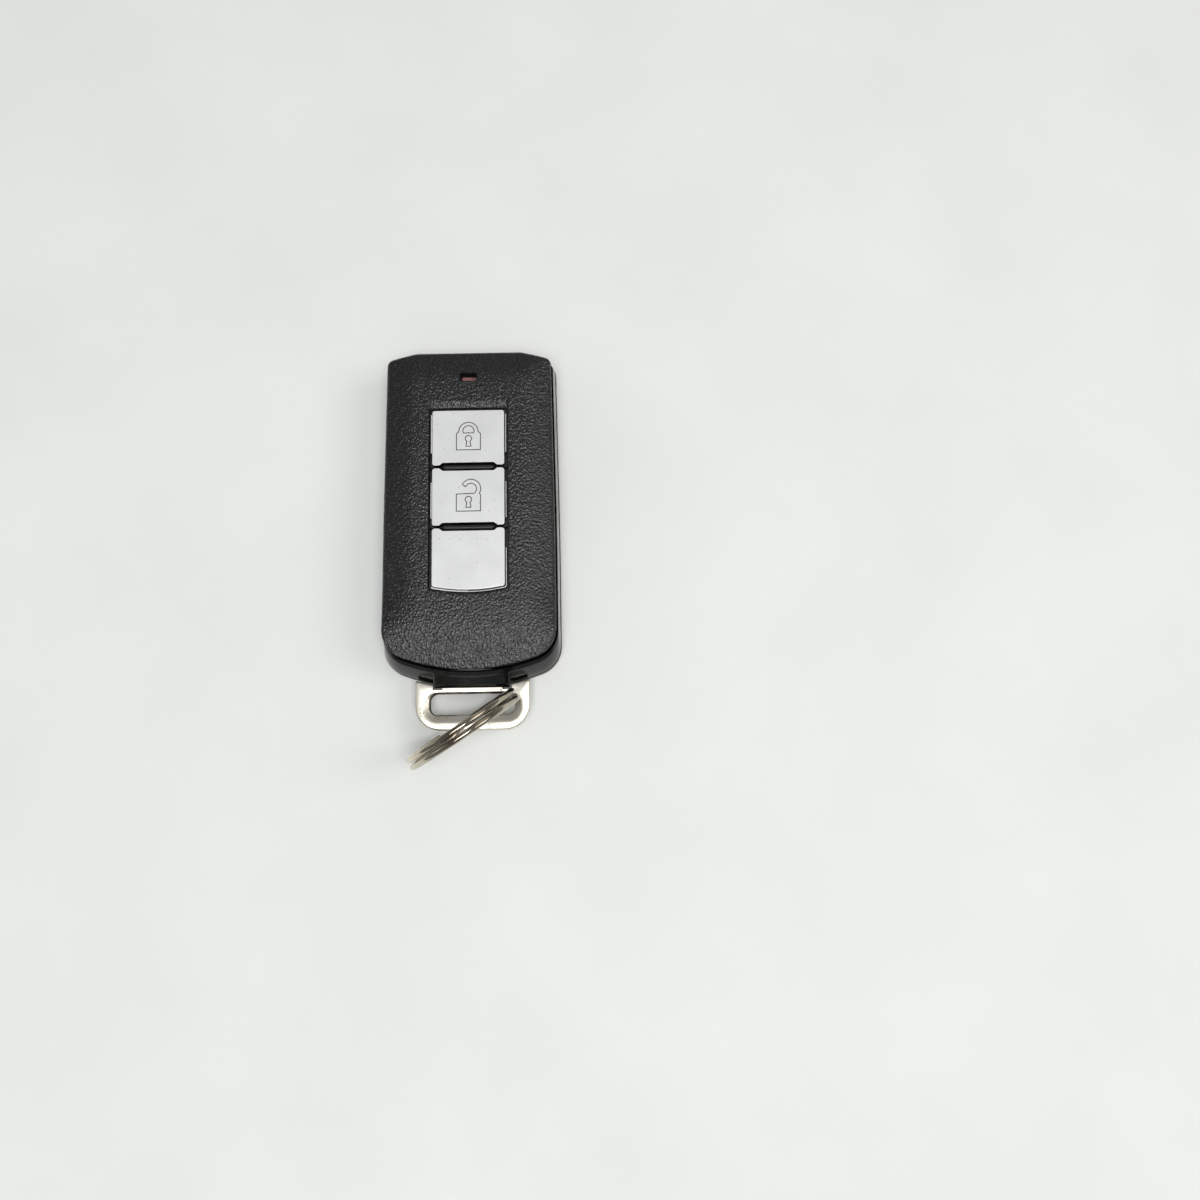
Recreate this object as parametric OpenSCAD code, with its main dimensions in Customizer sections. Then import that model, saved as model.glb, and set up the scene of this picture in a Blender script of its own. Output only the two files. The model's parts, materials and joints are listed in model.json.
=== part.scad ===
// Car key fob: three push keys, an emergency key in the tail and a split ring in its loop.
// Millimetres. The origin is the middle of the flat back, +Y runs to the indicator end and
// +Z points out of the button face.

/* [Case] */
// Width over the glossy frame at its widest
case_w = 35.8; // [34.6:0.2:42]
// Length from the top end to the tail, without the key
case_l = 68.2; // [67.2:0.2:80]
// Wall of the covers and of the frame
wall = 1.4; // [1.2:0.1:1.6]
// Height of the rear cover, from the flat back to the lower joint
rear_h = 4.4; // [4.2:0.1:5.4]
// Height of the glossy frame between the two joints
frame_h = 4.0; // [3.9:0.1:5]
// Height of the front cover, from the upper joint to the highest part of the face
front_h = 5.2; // [5:0.1:6.4]
// How far the frame stands out from the front cover along the sides
cover_step = 0.6; // [0.4:0.1:0.9]
// How far the frame stands out from the front cover at the tail
shoulder = 2.8; // [2.4:0.1:3.4]
// How much each side draws in from the waist to the top end
taper = 0.5; // [0:0.1:1]
// Width of the straight middle part of the top end
brow_w = 21.2; // [16:0.2:26]
// How far the top corners lie below the middle of the top end
brow_drop = 1.5; // [0.8:0.1:2.5]
// Radius of the tail, seen from the front
tail_r = 38; // [34:1:60]
// Radius of the two tail corners
tail_corner_r = 6; // [4:0.5:6.5]

/* [Face] */
// Width of the level middle of the face
plateau_w = 21.6; // [19:0.2:26]
// Fall of the face from the level middle to the soft side edges
side_fall = 1.5; // [1:0.1:2]
// Fall of the face from the keys to the tail edge
tail_fall = 2.2; // [1.5:0.1:2.6]
// Fall of the face at the top end
top_fall = 1.2; // [0.8:0.1:1.6]
// Length of the indicator slot
slot_w = 3.5; // [2.5:0.1:5]
// Height of the indicator slot
slot_l = 1.8; // [1.4:0.1:2.6]
// Distance from the top end to the middle of the indicator slot
slot_down = 6.2; // [5.4:0.1:7.4]
// Depth of the indicator lens below the face
lens_deep = 2.2; // [1.8:0.1:2.6]

/* [Keys] */
// Width of each key's top
key_w = 14.4; // [12:0.2:16]
// Distance from the top end of the case to the top edge of the lock key
keys_down = 13.3; // [12.6:0.1:14]
// Length of the lock key
lock_l = 11.4; // [10:0.1:12]
// Length of the unlock key
unlock_l = 11.7; // [10:0.1:12]
// Length of the tailgate key along its middle
tailgate_l = 12.4; // [10:0.1:12.8]
// Gap between two keys
key_gap = 0.6; // [0.5:0.05:0.9]
// Gap from a key's top to the edge of the window
window_gap = 0.8; // [0.6:0.05:1.2]
// Travel of a key
key_travel = 0.4; // [0.2:0.05:0.5]
// Length of the rubber bar between two keys
bar_w = 10.8; // [8:0.2:12]
// Thickness of the rubber bar between two keys
bar_l = 1.05; // [0.8:0.05:1.3]

/* [Emergency key] */
// Width of the loop
loop_w = 22.8; // [21:0.2:26]
// Distance from the tail of the case to the far edge of the loop
loop_out = 8.6; // [8.3:0.1:12]
// Width of the slot in the loop
eye_w = 17.0; // [15:0.2:19]
// Height of the slot in the loop
eye_l = 4.3; // [4.2:0.1:6]
// Width of the bevel round the slot in the loop
eye_bevel = 1.5; // [0.6:0.1:1.7]
// Thickness of the key head
head_t = 2.4; // [2.2:0.1:2.8]
// Width of the shank that goes into the case
shank_w = 12.4; // [11:0.2:13]
// Length of the shank inside the case
shank_l = 11.0; // [10:0.2:12]
// Width of the blade
blade_w = 7.8; // [7:0.1:8]
// Thickness of the blade
blade_t = 2.0; // [1.6:0.1:2.2]
// Length of the blade from the shank to its tip
blade_l = 32.0; // [24:0.5:33]

/* [Latch] */
// Travel of the latch slide
latch_travel = 1.6; // [1.2:0.1:1.8]
// Thickness of the leaf spring
leaf_t = 0.25; // [0.2:0.05:0.3]

/* [Electronics] */
// Thickness of the circuit board
board_t = 1.0; // [0.8:0.1:1.2]
// Diameter of the coin cell
cell_d = 16; // [12:0.5:17]
// Thickness of the coin cell
cell_t = 3.2; // [2.5:0.1:3.2]
// Height of the switch bodies
switch_h = 1.5; // [1:0.1:1.8]

/* [Split ring] */
// Outside diameter of the ring
ring_d = 25; // [22:0.5:30]
// Width of the wire along the ring's radius
wire_w = 1.7; // [1.4:0.1:2]
// Thickness of the wire along the ring's axis
wire_t = 1.25; // [1:0.05:1.5]
// Gap between the two turns
turn_gap = 0.42; // [0.41:0.01:0.6]
// Direction of the ring, seen from the front
ring_yaw = 33; // [31:1:37]
// Lean of the ring away from the case
ring_lean = 8; // [7:0.5:9]

/* [Hidden] */
$fn = 48;

// Clearances and small common sizes
slide_gap = 0.15;
fit_gap = 0.05;
clear_gap = 0.3;
over = 1;

// Ends of the case and heights of its layers
top_y = case_l / 2;
tail_y = -case_l / 2;
seam_z = rear_h;
cover_z = rear_h + frame_h;
face_z = cover_z + front_h;
ceiling_z = face_z - wall;
cover_half = case_w / 2 - cover_step;
cover_top = top_y - cover_step / 3;
cover_tail = tail_y + shoulder;
rear_step = 0.15;
rear_bevel = 2.2;
top_corner_r = 1.4;
brow_r = 3;
waist_y = -4;
waist_r = 1500;
tail_blend = 0.5;
tail_reach = case_w / 2 - tail_corner_r + tail_blend;
tail_slope = asin(tail_reach / tail_r);
band_h = 0.48 * frame_h;
least_r = 0.3;
lip_h = 0.6;
lip_t = 0.7;
seal_w = 0.7;
seal_in = 0.35;

// Face of the front cover
plateau_r = 14;
side_in = 1.1;
side_edge_r = 2;
side_edge_slope = 45;
along_r = 70;
top_run = 5.6;
top_edge_in = 1.0;
top_edge_slope = 52;
ramp_l = 1.4;
ramp_deep = 0.8;
slot_y = top_y - slot_down;
slot_r = 0.5;
collar_t = 0.8;
post_r = 1.1;
post_in = 3.6;
post_out = 1.2;
profile_run = 3;

// Emergency key in the joint between the rear cover and the frame
head_z = seam_z - head_t / 2;
deck_z = seam_z + head_t / 2 + slide_gap;
deck_t = 0.9;
blade_room = 0.8;
deck_end_y = tail_y + shank_l + blade_l + blade_room;
ledge = 1.3;
tongue_w = 15.2;
tongue_out = 0.3;
tongue_drop = 0.4;
eye_r = 1.6;
loop_corner_r = 5;
loop_flare = 0.1;
loop_gap = 0.35;
loop_y = tail_y - loop_out;
bar_under_eye = 3.0;
eye_bevel_deep = 0.8;
eye_bevel_top = 0.3;
eye_y = loop_y + bar_under_eye;
shank_y = tail_y + shank_l;
notch_up = 7.6;
notch_y = tail_y + notch_up;
notch_deep = 0.8;
notch_half = 1.1;
tang_w = 5;
tang_t = 1.2;
tang_l = 5;
pin_r = 0.8;
blade_y = shank_y + blade_l;
tip_l = 3.2;
groove_w = 2.2;
groove_deep = 0.45;
rail_t = 0.9;
bed_w = 3;

// Latch beside the shank
latch_up = 14.5;
latch_y = tail_y + latch_up;
knob_w = 3.6;
knob_l = 4.4;
knob_z = 0.35;
dish_deep = 0.7;
dish_margin = 1.2;
slide_w = 5.1;
slide_l = 6.4;
slide_t = 0.9;
leaf_h = 1.8;
leaf_x = shank_w / 2 + clear_gap;
fork_w = 0.9;
fork_l = 2.0;
slide_x = leaf_x - fork_w - clear_gap;
leaf_root_up = 9;
leaf_root_y = latch_y + leaf_root_up;
nose_out = 0.75;
leaf_end = 1.5;
anchor_l = 3;
anchor_t = 1;

// Circuit board, its parts and the cell under it
board_z = deck_z + deck_t;
board_top = board_z + board_t;
board_gap = 0.25;
spring_room = 0.35;
cell_down = 15;
cell_y = top_y - cell_down;
cell_z = board_z - spring_room - cell_t;
cell_cap_t = 0.5;
cell_cap_in = 0.9;
clip_t = 0.25;
clip_l = 5;
contact_t = 0.15;
contact_w = 6;
contact_r = 1.5;
rib_t = 1;
tail_parts_up = 10.8;
tail_parts_y = tail_y + tail_parts_up;
top_parts_down = 7;
top_parts_y = top_y - top_parts_down;
led_size = [1.6, 0.8, 0.7];
micro_size = [7, 7, 0.9];
micro_in = 11.9;
radio_size = [4.4, 4.4, 0.9];
radio_in = 8.7;
transponder_size = [4, 3.2, 1.1];
transponder_in = 9.9;
crystal_size = [2.5, 3.2, 0.8];
crystal_in = 6.3;
passive_size = [0.8, 1.6, 0.7];
passive_pitch = 4;
passive_in = 3;
antenna_in = 10.9;
antenna_x = antenna_in - cover_half;
antenna_w = 8;
antenna_h = 2.4;
flange_t = 0.5;
winding_r = 3.5;
core_r = 1.8;

// Column of keys, from the membrane up to the face
keys_top = top_y - keys_down;
keys_tail = keys_top - lock_l - unlock_l - tailgate_l - 2 * key_gap;
keys_tail_r = 34;
keys_tail_in = 0.9;
keys_tail_reach = key_w / 2 - keys_tail_in;
keys_tail_slope = asin(keys_tail_reach / keys_tail_r);
key_r = 0.5;
pad_sink = 0.05;
pad_step = 0.5;
body_out = 0.4;
rim_out = 1.5;
rim_t = 0.6;
rim_drop = 0.4;
rim_z = ceiling_z - rim_drop - rim_t;
membrane_t = 0.6;
skirt_out = 2.6;
skirt_t = 0.8;
nib_r = 1.4;
bar_gap = 0.32;
bar_sink = 0.25;
bar_point = 0.6;
plunger_r = 1.0;
plunger_up = 0.5;
plunger_deep = 0.5;
switch_w = 4.4;
plunger_top = board_top + switch_h + plunger_up;
split_ys = [keys_top - lock_l - key_gap / 2, keys_top - lock_l - unlock_l - 1.5 * key_gap];
key_ys = [keys_top - lock_l / 2, split_ys[0] - key_gap / 2 - unlock_l / 2,
    split_ys[1] - key_gap / 2 - tailgate_l / 2];

// Split ring, standing in the eye of the loop
ring_r = ring_d / 2;
ring_mean_r = ring_r - wire_w / 2;
ring_h = 2 * wire_t + turn_gap;
ring_side = 5.1;
ring_through = [ring_side, eye_y + eye_l / 2];
ring_z = ring_r * cos(ring_lean) + ring_h / 2 * sin(ring_lean) + fit_gap;
ring_down = (seam_z - ring_z) / cos(ring_lean);
ring_along = sqrt(pow(ring_mean_r, 2) - pow(ring_down, 2));
ring_x = ring_through.x - ring_along * cos(ring_yaw) - ring_down * sin(ring_lean) * sin(ring_yaw);
ring_y = ring_through.y - ring_along * sin(ring_yaw) + ring_down * sin(ring_lean) * cos(ring_yaw);
turn_pitch = wire_t + turn_gap;
jog_mid = 262;
jog_span = 36;
ring_steps = 92;
room_step = 3;
wire_round = 0.35;

function unit(v) = v / norm(v);
function turned(v, a) = [v.x * cos(a) - v.y * sin(a), v.x * sin(a) + v.y * cos(a)];
function turn_between(a, b) = atan2(a.x * b.y - a.y * b.x, a * b);

// Points of one corner [x, y, radius] between its two neighbours
function corner_arc(before, at, after) =
    let (p = [at.x, at.y])
    let (u = unit([before.x, before.y] - p))
    let (v = unit([after.x, after.y] - p))
    let (half = acos(u * v) / 2)
    let (c = p + unit(u + v) * at.z / sin(half))
    let (from = p + u * at.z / tan(half) - c)
    let (sweep = turn_between(from, p + v * at.z / tan(half) - c))
    let (steps = at.z > 20 ? 10 : 6)
    [for (i = [0:steps]) c + turned(from, sweep * i / steps)];

function rounded(corners) =
    let (n = len(corners))
    [for (i = [0:n - 1]) each corners[i].z == 0 ? [[corners[i].x, corners[i].y]] :
        corner_arc(corners[(i + n - 1) % n], corners[i], corners[(i + 1) % n])];

function mirrored(corners) =
    [for (i = [len(corners) - 1:-1:0]) [-corners[i].x, corners[i].y, corners[i].z]];
function less(r, shrink) = max(r - shrink, least_r);

// Outline of the case for a half width, a top end and a tail, with its corners shrunk
function case_ring(half, top, tail, shrink) =
    let (e = tail + tail_r - tail_r / cos(tail_slope))
    let (side = [
        [brow_w / 2, top, brow_r],
        [half - taper, top - brow_drop, less(top_corner_r, shrink)],
        [half, waist_y, waist_r],
        [half, e + half * tan(tail_slope), less(tail_corner_r, shrink)]])
    rounded(concat(side, [[0, e, tail_r - shrink]], mirrored(side)));

function frame_ring(inset) = case_ring(case_w / 2 - inset, top_y - inset, tail_y + inset, inset);
function cover_ring(inset) = case_ring(cover_half - inset, cover_top - inset, cover_tail + inset, inset);

// Outline of the column of keys, grown all round
function keys_ring(grow) =
    let (half = key_w / 2 + grow)
    let (e = keys_tail - grow + keys_tail_r - keys_tail_r / cos(keys_tail_slope))
    let (side = [
        [half, keys_top + grow, key_r],
        [half, e + half * tan(keys_tail_slope), key_r]])
    rounded(concat(side, [[0, e, keys_tail_r]], mirrored(side)));

module layer(z0, z1, points) {
    translate([0, 0, z0]) linear_extrude(z1 - z0) polygon(points);
}

module block(x0, x1, y0, y1, z0, z1) {
    translate([x0, y0, z0]) cube([x1 - x0, y1 - y0, z1 - z0]);
}

module rounded_block(w, l, r, z0, z1) {
    side = [[w / 2, l / 2, r], [w / 2, -l / 2, r]];
    layer(z0, z1, rounded(concat(side, mirrored(side))));
}

// The face, as the outline of the cover cut by its profiles across and along
module face_block(inset, sink, low_z) {
    edge = cover_half - side_in;
    run = profile_run;
    across = [
        [plateau_w / 2, face_z - sink, plateau_r],
        [edge, face_z - side_fall - sink, side_edge_r],
        [edge + run, face_z - side_fall - sink - run * tan(side_edge_slope), 0],
        [edge + run, low_z - over, 0]];
    top_edge = cover_top - top_edge_in;
    tail_start = keys_tail - window_gap;
    tail_rise = tail_fall / (tail_start - cover_tail);
    along = [
        [top_edge + run, low_z - over, 0],
        [top_edge + run, face_z - top_fall - sink - run * tan(top_edge_slope), 0],
        [top_edge, face_z - top_fall - sink, side_edge_r],
        [top_edge - top_run, face_z - sink, plateau_r],
        [tail_start, face_z - sink, along_r],
        [cover_tail - run, face_z - sink - tail_rise * (tail_start - cover_tail + run), 0],
        [cover_tail - run, low_z - over, 0]];
    intersection() {
        layer(low_z, face_z + over, cover_ring(inset));
        rotate([90, 0, 0]) linear_extrude(2 * case_l, center = true)
            polygon(rounded(concat(across, mirrored(across))));
        rotate([90, 0, 90]) linear_extrude(2 * case_w, center = true) polygon(rounded(along));
    }
}

module front_cover() color("#2c2c2d") {
    difference() {
        union() {
            difference() {
                face_block(0, 0, cover_z);
                face_block(wall, wall, cover_z - over);
            }
            translate([0, slot_y, 0])
                rounded_block(slot_w + 2 * collar_t, slot_l + 2 * collar_t, slot_r + collar_t,
                    face_z - lens_deep, ceiling_z + wall / 2);
            intersection() {
                for (x = [-1, 1], y = [keys_top + post_out, keys_tail - post_out])
                    translate([x * (cover_half - post_in), y, board_top])
                        cylinder(r = post_r, h = front_h + over);
                face_block(wall / 2, wall / 2, board_top);
            }
            difference() {
                union() {
                    layer(cover_z - lip_h, cover_z, cover_ring(wall + fit_gap));
                    layer(cover_z, cover_z + lip_h, cover_ring(wall / 2));
                }
                layer(0, face_z, cover_ring(wall + fit_gap + lip_t));
            }
        }
        layer(rim_z, face_z + over, keys_ring(window_gap));
        translate([0, slot_y, 0]) rounded_block(slot_w, slot_l, slot_r, board_top, face_z + over);
        key_ramp();
    }
}

// Sloping finger relief above the lock key
module key_ramp() {
    low = keys_top + window_gap - fit_gap;
    rotate([90, 0, 90]) linear_extrude(key_w + 2 * window_gap, center = true)
        polygon([[low, face_z - ramp_deep], [low + ramp_l, face_z], [low + ramp_l, face_z + over],
            [low, face_z + over]]);
}

module case_seal() color("#1d1d1f") difference() {
    layer(cover_z - seal_w, cover_z, cover_ring(seal_in));
    layer(cover_z - seal_w - over, cover_z + over, cover_ring(seal_in + seal_w));
}

module key_mouth(z0, z1) {
    half = shank_w / 2 + slide_gap;
    block(-half, half, tail_y - over, shank_y, z0, z1);
}

module side_frame() color("#141415") difference() {
    union() {
        hull() {
            layer(seam_z, seam_z + band_h, frame_ring(0));
            layer(cover_z - fit_gap, cover_z, cover_ring(0));
        }
        block(-tongue_w / 2, tongue_w / 2, tail_y - tongue_out, cover_tail, seam_z,
            cover_z - tongue_drop);
    }
    layer(board_z, cover_z + over, cover_ring(wall));
    layer(seam_z - over, deck_z, cover_ring(wall));
    intersection() {
        layer(seam_z - over, board_z + over, cover_ring(wall + ledge));
        block(-case_w, case_w, deck_end_y, top_y, 0, face_z);
    }
    difference() {
        layer(cover_z - seal_w, cover_z + over, cover_ring(seal_in));
        layer(0, face_z, cover_ring(seal_in + seal_w));
    }
    key_mouth(seam_z - over, deck_z);
}

module latch_window() {
    x0 = slide_x + (slide_w - knob_w) / 2;
    x1 = x0 + knob_w + latch_travel;
    half = knob_l / 2 + clear_gap;
    block(x0 - clear_gap, x1 + clear_gap, latch_y - half, latch_y + half, -over, wall + over);
    translate([(x0 + x1) / 2, latch_y, 0])
        rounded_block(x1 - x0 + 2 * dish_margin, knob_l + 2 * dish_margin, dish_margin, -over,
            dish_deep);
}

module rear_cover() color("#1b1b1c") {
    difference() {
        hull() {
            layer(rear_bevel, seam_z, frame_ring(rear_step));
            layer(0, fit_gap, frame_ring(rear_step + rear_bevel));
        }
        block(-case_w, case_w, -case_l, case_l, -over, 0);
        layer(wall, seam_z + over, cover_ring(wall));
        key_mouth(head_z - slide_gap, seam_z + over);
        latch_window();
    }
    difference() {
        union() {
            layer(seam_z - lip_h, seam_z, cover_ring(wall / 2));
            layer(seam_z, seam_z + lip_h, cover_ring(wall + fit_gap));
        }
        layer(0, face_z, cover_ring(wall + fit_gap + lip_t));
        key_mouth(head_z - slide_gap, face_z);
    }
    half = blade_w / 2 + slide_gap;
    floor_z = wall - fit_gap;
    rail_y = latch_y + slide_l / 2 + clear_gap;
    for (s = [0, 1]) mirror([s, 0, 0])
        block(half, half + rail_t, rail_y, blade_y, floor_z, deck_z - slide_gap);
    block(-bed_w / 2, bed_w / 2, shank_y, blade_y, floor_z, seam_z - blade_t / 2 - slide_gap);
    block(-shank_w / 2, shank_w / 2, cover_tail + wall - over, shank_y, floor_z, head_z - slide_gap);
    for (x = [-1, 0, 1])
        translate([x * cell_d / 4, cell_y, 0])
            block(-rib_t / 2, rib_t / 2, -clip_l / 2, clip_l / 2, floor_z, cell_z - clip_t);
    for (x = [leaf_x - fit_gap - anchor_t, leaf_x + leaf_t + fit_gap])
        block(x, x + anchor_t, leaf_root_y - anchor_l, leaf_root_y, floor_z, deck_z - slide_gap);
}

module led_lens() color("#7c3038") {
    foot = board_top + led_size.z + slide_gap;
    top = face_z - lens_deep;
    translate([0, slot_y, 0]) {
        rounded_block(slot_w + 2 * collar_t, slot_l + 2 * collar_t, slot_r + collar_t,
            top - collar_t, top);
        rounded_block(slot_w, slot_l, slot_r, foot, top - collar_t);
    }
}

// Lens-shaped cut or bar in a gap between two keys
module bar_shape(w, l) {
    half = l / 2;
    polygon([[-w / 2, 0], [-w / 2 + bar_point, half], [w / 2 - bar_point, half], [w / 2, 0],
        [w / 2 - bar_point, -half], [-w / 2 + bar_point, -half]]);
}

module key_slice(low, high, grow) {
    difference() {
        intersection() {
            polygon(keys_ring(grow));
            translate([-case_w / 2, low]) square([case_w, high - low]);
        }
        for (y = split_ys) translate([0, y]) bar_shape(bar_w + 2 * bar_gap, bar_l + 2 * bar_gap);
    }
}

// A key between two heights of the column: rim under the cover, body and raised top
module push_key(low, high) color("#c9cacb") {
    pad_z = face_z - pad_sink;
    translate([0, 0, rim_z]) linear_extrude(rim_t) key_slice(low, high, rim_out);
    translate([0, 0, rim_z]) linear_extrude(pad_z - pad_step - rim_z) key_slice(low, high, body_out);
    translate([0, 0, rim_z]) linear_extrude(pad_z - rim_z) key_slice(low, high, 0);
}

module lock_button() push_key(split_ys[0] + key_gap / 2, top_y);
module unlock_button() push_key(split_ys[1] + key_gap / 2, split_ys[0] - key_gap / 2);
module tailgate_button() push_key(tail_y, split_ys[1] - key_gap / 2);

module keypad_membrane() color("#232324") {
    difference() {
        layer(board_top, rim_z, keys_ring(skirt_out));
        layer(board_top - over, rim_z - membrane_t, keys_ring(skirt_out - skirt_t));
    }
    for (y = key_ys) translate([0, y, plunger_top]) cylinder(r = nib_r, h = rim_z - plunger_top);
    for (y = split_ys) translate([0, y, rim_z - membrane_t / 2])
        linear_extrude(face_z - bar_sink - rim_z + membrane_t / 2) bar_shape(bar_w, bar_l);
}

module plunger(y) color("#d8d2c4")
    translate([0, y, board_top + switch_h - plunger_deep])
        cylinder(r = plunger_r, h = plunger_up + plunger_deep);

module lock_plunger() plunger(key_ys[0]);
module unlock_plunger() plunger(key_ys[1]);
module tailgate_plunger() plunger(key_ys[2]);

module tact_switches() color("#9fa3a6") for (y = key_ys) difference() {
    chip(0, y, [switch_w, switch_w, switch_h]);
    translate([0, y, board_top + switch_h - plunger_deep - key_travel - slide_gap / 2])
        cylinder(r = plunger_r + fit_gap, h = switch_h);
}

module circuit_board() color("#1f5a35") layer(board_z, board_top, cover_ring(wall + board_gap));

// A chip lying on the board, by its middle and size
module chip(x, y, size) translate([x - size.x / 2, y - size.y / 2, board_top]) cube(size);

module status_led() color("#e8e4d8") chip(0, slot_y, led_size);
module microcontroller() color("#202022") chip(cover_half - micro_in, tail_parts_y, micro_size);
module radio_chip() color("#242426") chip(cover_half - radio_in, top_parts_y, radio_size);
module transponder_chip() color("#2a2a2c") chip(transponder_in - cover_half, top_parts_y, transponder_size);
module crystal() color("#b9bcbf") chip(cover_half - crystal_in, tail_parts_y, crystal_size);

module passives() color("#b09a78")
    for (x = [-1, 1], i = [-3:3])
        chip(x * (cover_half - wall - passive_in), key_ys[1] + passive_pitch * i, passive_size);

module wake_antenna_core() color("#3a3a3d") translate([antenna_x, tail_parts_y, board_top]) {
    for (z = [0, antenna_h - flange_t]) translate([-antenna_w / 2, -antenna_w / 2, z])
        cube([antenna_w, antenna_w, flange_t]);
    cylinder(r = core_r, h = antenna_h);
}

module wake_antenna_winding() color("#a8683a") translate([antenna_x, tail_parts_y, board_top + flange_t])
    difference() {
        cylinder(r = winding_r, h = antenna_h - 2 * flange_t);
        translate([0, 0, -over]) cylinder(r = core_r, h = antenna_h + over);
    }

module coin_cell() color("#c2c3c2") translate([0, cell_y, cell_z]) {
    cylinder(d = cell_d, h = cell_t - cell_cap_t);
    cylinder(d = cell_d - 2 * cell_cap_in, h = cell_t);
}

module battery_clip() color("#cbb98a") translate([0, cell_y, 0]) {
    inner = cell_d / 2 + fit_gap;
    outer = inner + clip_t;
    for (s = [0, 1]) mirror([s, 0, 0])
        block(inner, outer, -clip_l / 2, clip_l / 2, cell_z - clip_t, board_z);
    block(-outer, outer, -clip_l / 2, clip_l / 2, cell_z - clip_t, cell_z);
}

module battery_spring() color("#cbb98a") translate([0, cell_y, 0]) {
    block(-contact_w / 2, contact_w / 2, -contact_r, contact_r, board_z - contact_t, board_z);
    translate([0, 0, cell_z + cell_t]) cylinder(r = contact_r, h = spring_room);
}

// Outline of the loop before the case is cut from it
function loop_ring() =
    let (side = [
        [loop_w / 2, tail_y + shoulder, 0],
        [loop_w / 2 + loop_flare, loop_y, loop_corner_r]])
    rounded(concat(side, mirrored(side)));

// Bevel that widens the slot of the loop towards one face
module eye_funnel() {
    mid_y = eye_y + eye_l / 2;
    wide = eye_l + eye_bevel + eye_bevel_top;
    hull() {
        translate([0, mid_y, head_t / 2 - eye_bevel_deep])
            rounded_block(eye_w, eye_l, eye_r, 0, fit_gap);
        translate([0, mid_y + (eye_bevel_top - eye_bevel) / 2, head_t / 2])
            rounded_block(eye_w + 2 * eye_bevel, wide, eye_r + eye_bevel, 0, fit_gap);
    }
}

module key_head() color("#d9d6d0") difference() {
    root_y = tail_y - tongue_out - loop_gap;
    root_half = tongue_w / 2 + loop_gap;
    union() {
        difference() {
            layer(head_z, head_z + head_t, loop_ring());
            layer(0, face_z, frame_ring(-loop_gap));
            block(-root_half, root_half, root_y, 0, 0, face_z);
        }
        block(-shank_w / 2, shank_w / 2, root_y - fit_gap, shank_y, head_z, head_z + head_t);
    }
    translate([0, eye_y + eye_l / 2, 0]) rounded_block(eye_w, eye_l, eye_r, 0, face_z);
    for (s = [0, 1]) translate([0, 0, seam_z]) mirror([0, 0, s]) eye_funnel();
    translate([shank_w / 2, notch_y, 0]) layer(0, face_z,
        [[-notch_deep, 0], [0, notch_half], [over, notch_half], [over, -notch_half], [0, -notch_half]]);
    key_tang(over);
    translate([0, shank_y - tang_l / 2, 0]) cylinder(r = pin_r, h = face_z);
}

// Tang of the blade in the shank, running on past the shank's end
module key_tang(past) {
    low = seam_z - tang_t / 2;
    block(-tang_w / 2, tang_w / 2, shank_y - tang_l, shank_y + past, low, low + tang_t);
}

module key_blade() color("#c8c4b8") difference() {
    union() {
        layer(seam_z - blade_t / 2, seam_z + blade_t / 2, [
            [-blade_w / 2, shank_y], [blade_w / 2, shank_y], [blade_w / 2, blade_y - tip_l],
            [tip_l / 4, blade_y], [-tip_l / 4, blade_y], [-blade_w / 2, blade_y - tip_l]]);
        key_tang(fit_gap);
    }
    for (z = [seam_z + blade_t / 2 - groove_deep, seam_z - blade_t / 2 - over])
        block(-groove_w / 2, groove_w / 2, shank_y + over, blade_y + over, z, z + groove_deep + over);
    translate([0, shank_y - tang_l / 2, 0]) cylinder(r = pin_r, h = face_z);
}

module key_pin() color("#8f9193")
    translate([0, shank_y - tang_l / 2, head_z]) cylinder(r = pin_r, h = head_t);

module latch_slider() color("#262628") {
    low = wall + slide_gap / 2;
    block(slide_x, slide_x + slide_w, latch_y - slide_l / 2, latch_y + slide_l / 2, low, low + slide_t);
    knob_x = slide_x + (slide_w - knob_w) / 2;
    block(knob_x, knob_x + knob_w, latch_y - knob_l / 2, latch_y + knob_l / 2, knob_z, low + fit_gap);
    for (x = [slide_x, leaf_x + leaf_t + clear_gap])
        block(x, x + fork_w, latch_y - fork_l / 2, latch_y + fork_l / 2, low, deck_z - slide_gap);
}

module latch_spring() color("#b4b6b8") {
    back_x = leaf_x + leaf_t;
    nose_x = leaf_x - nose_out;
    layer(seam_z - leaf_h / 2, seam_z + leaf_h / 2, [
        [leaf_x, leaf_root_y], [leaf_x, notch_y + notch_half], [nose_x, notch_y + leaf_t / 2],
        [nose_x, notch_y - leaf_t / 2], [leaf_x, notch_y - notch_half], [leaf_x, notch_y - leaf_end],
        [back_x, notch_y - leaf_end], [back_x, notch_y - notch_half + leaf_t / 2],
        [nose_x + leaf_t, notch_y], [back_x, notch_y + notch_half - leaf_t / 2],
        [back_x, leaf_root_y]]);
}

// Path of the wire: one flat turn, a jog to the other side, and a second flat turn
function smooth(t) = t * t * (3 - 2 * t);
function rise(a) = turn_pitch * (smooth(min(max((a - 360 + jog_span) / jog_span, 0), 1)) - 0.5);
function wire_place(a) =
    let (dir = a + jog_mid + jog_span / 2)
    [[cos(dir), 0, sin(dir)], rise(a)];
wire_section = [
    [-wire_w / 2, -wire_t / 2 + wire_round], [-wire_w / 2 + wire_round, -wire_t / 2],
    [wire_w / 2 - wire_round, -wire_t / 2], [wire_w / 2, -wire_t / 2 + wire_round],
    [wire_w / 2, wire_t / 2 - wire_round], [wire_w / 2 - wire_round, wire_t / 2],
    [-wire_w / 2 + wire_round, wire_t / 2], [-wire_w / 2, wire_t / 2 - wire_round]];
wire_angle = 720 - jog_span;

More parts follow.
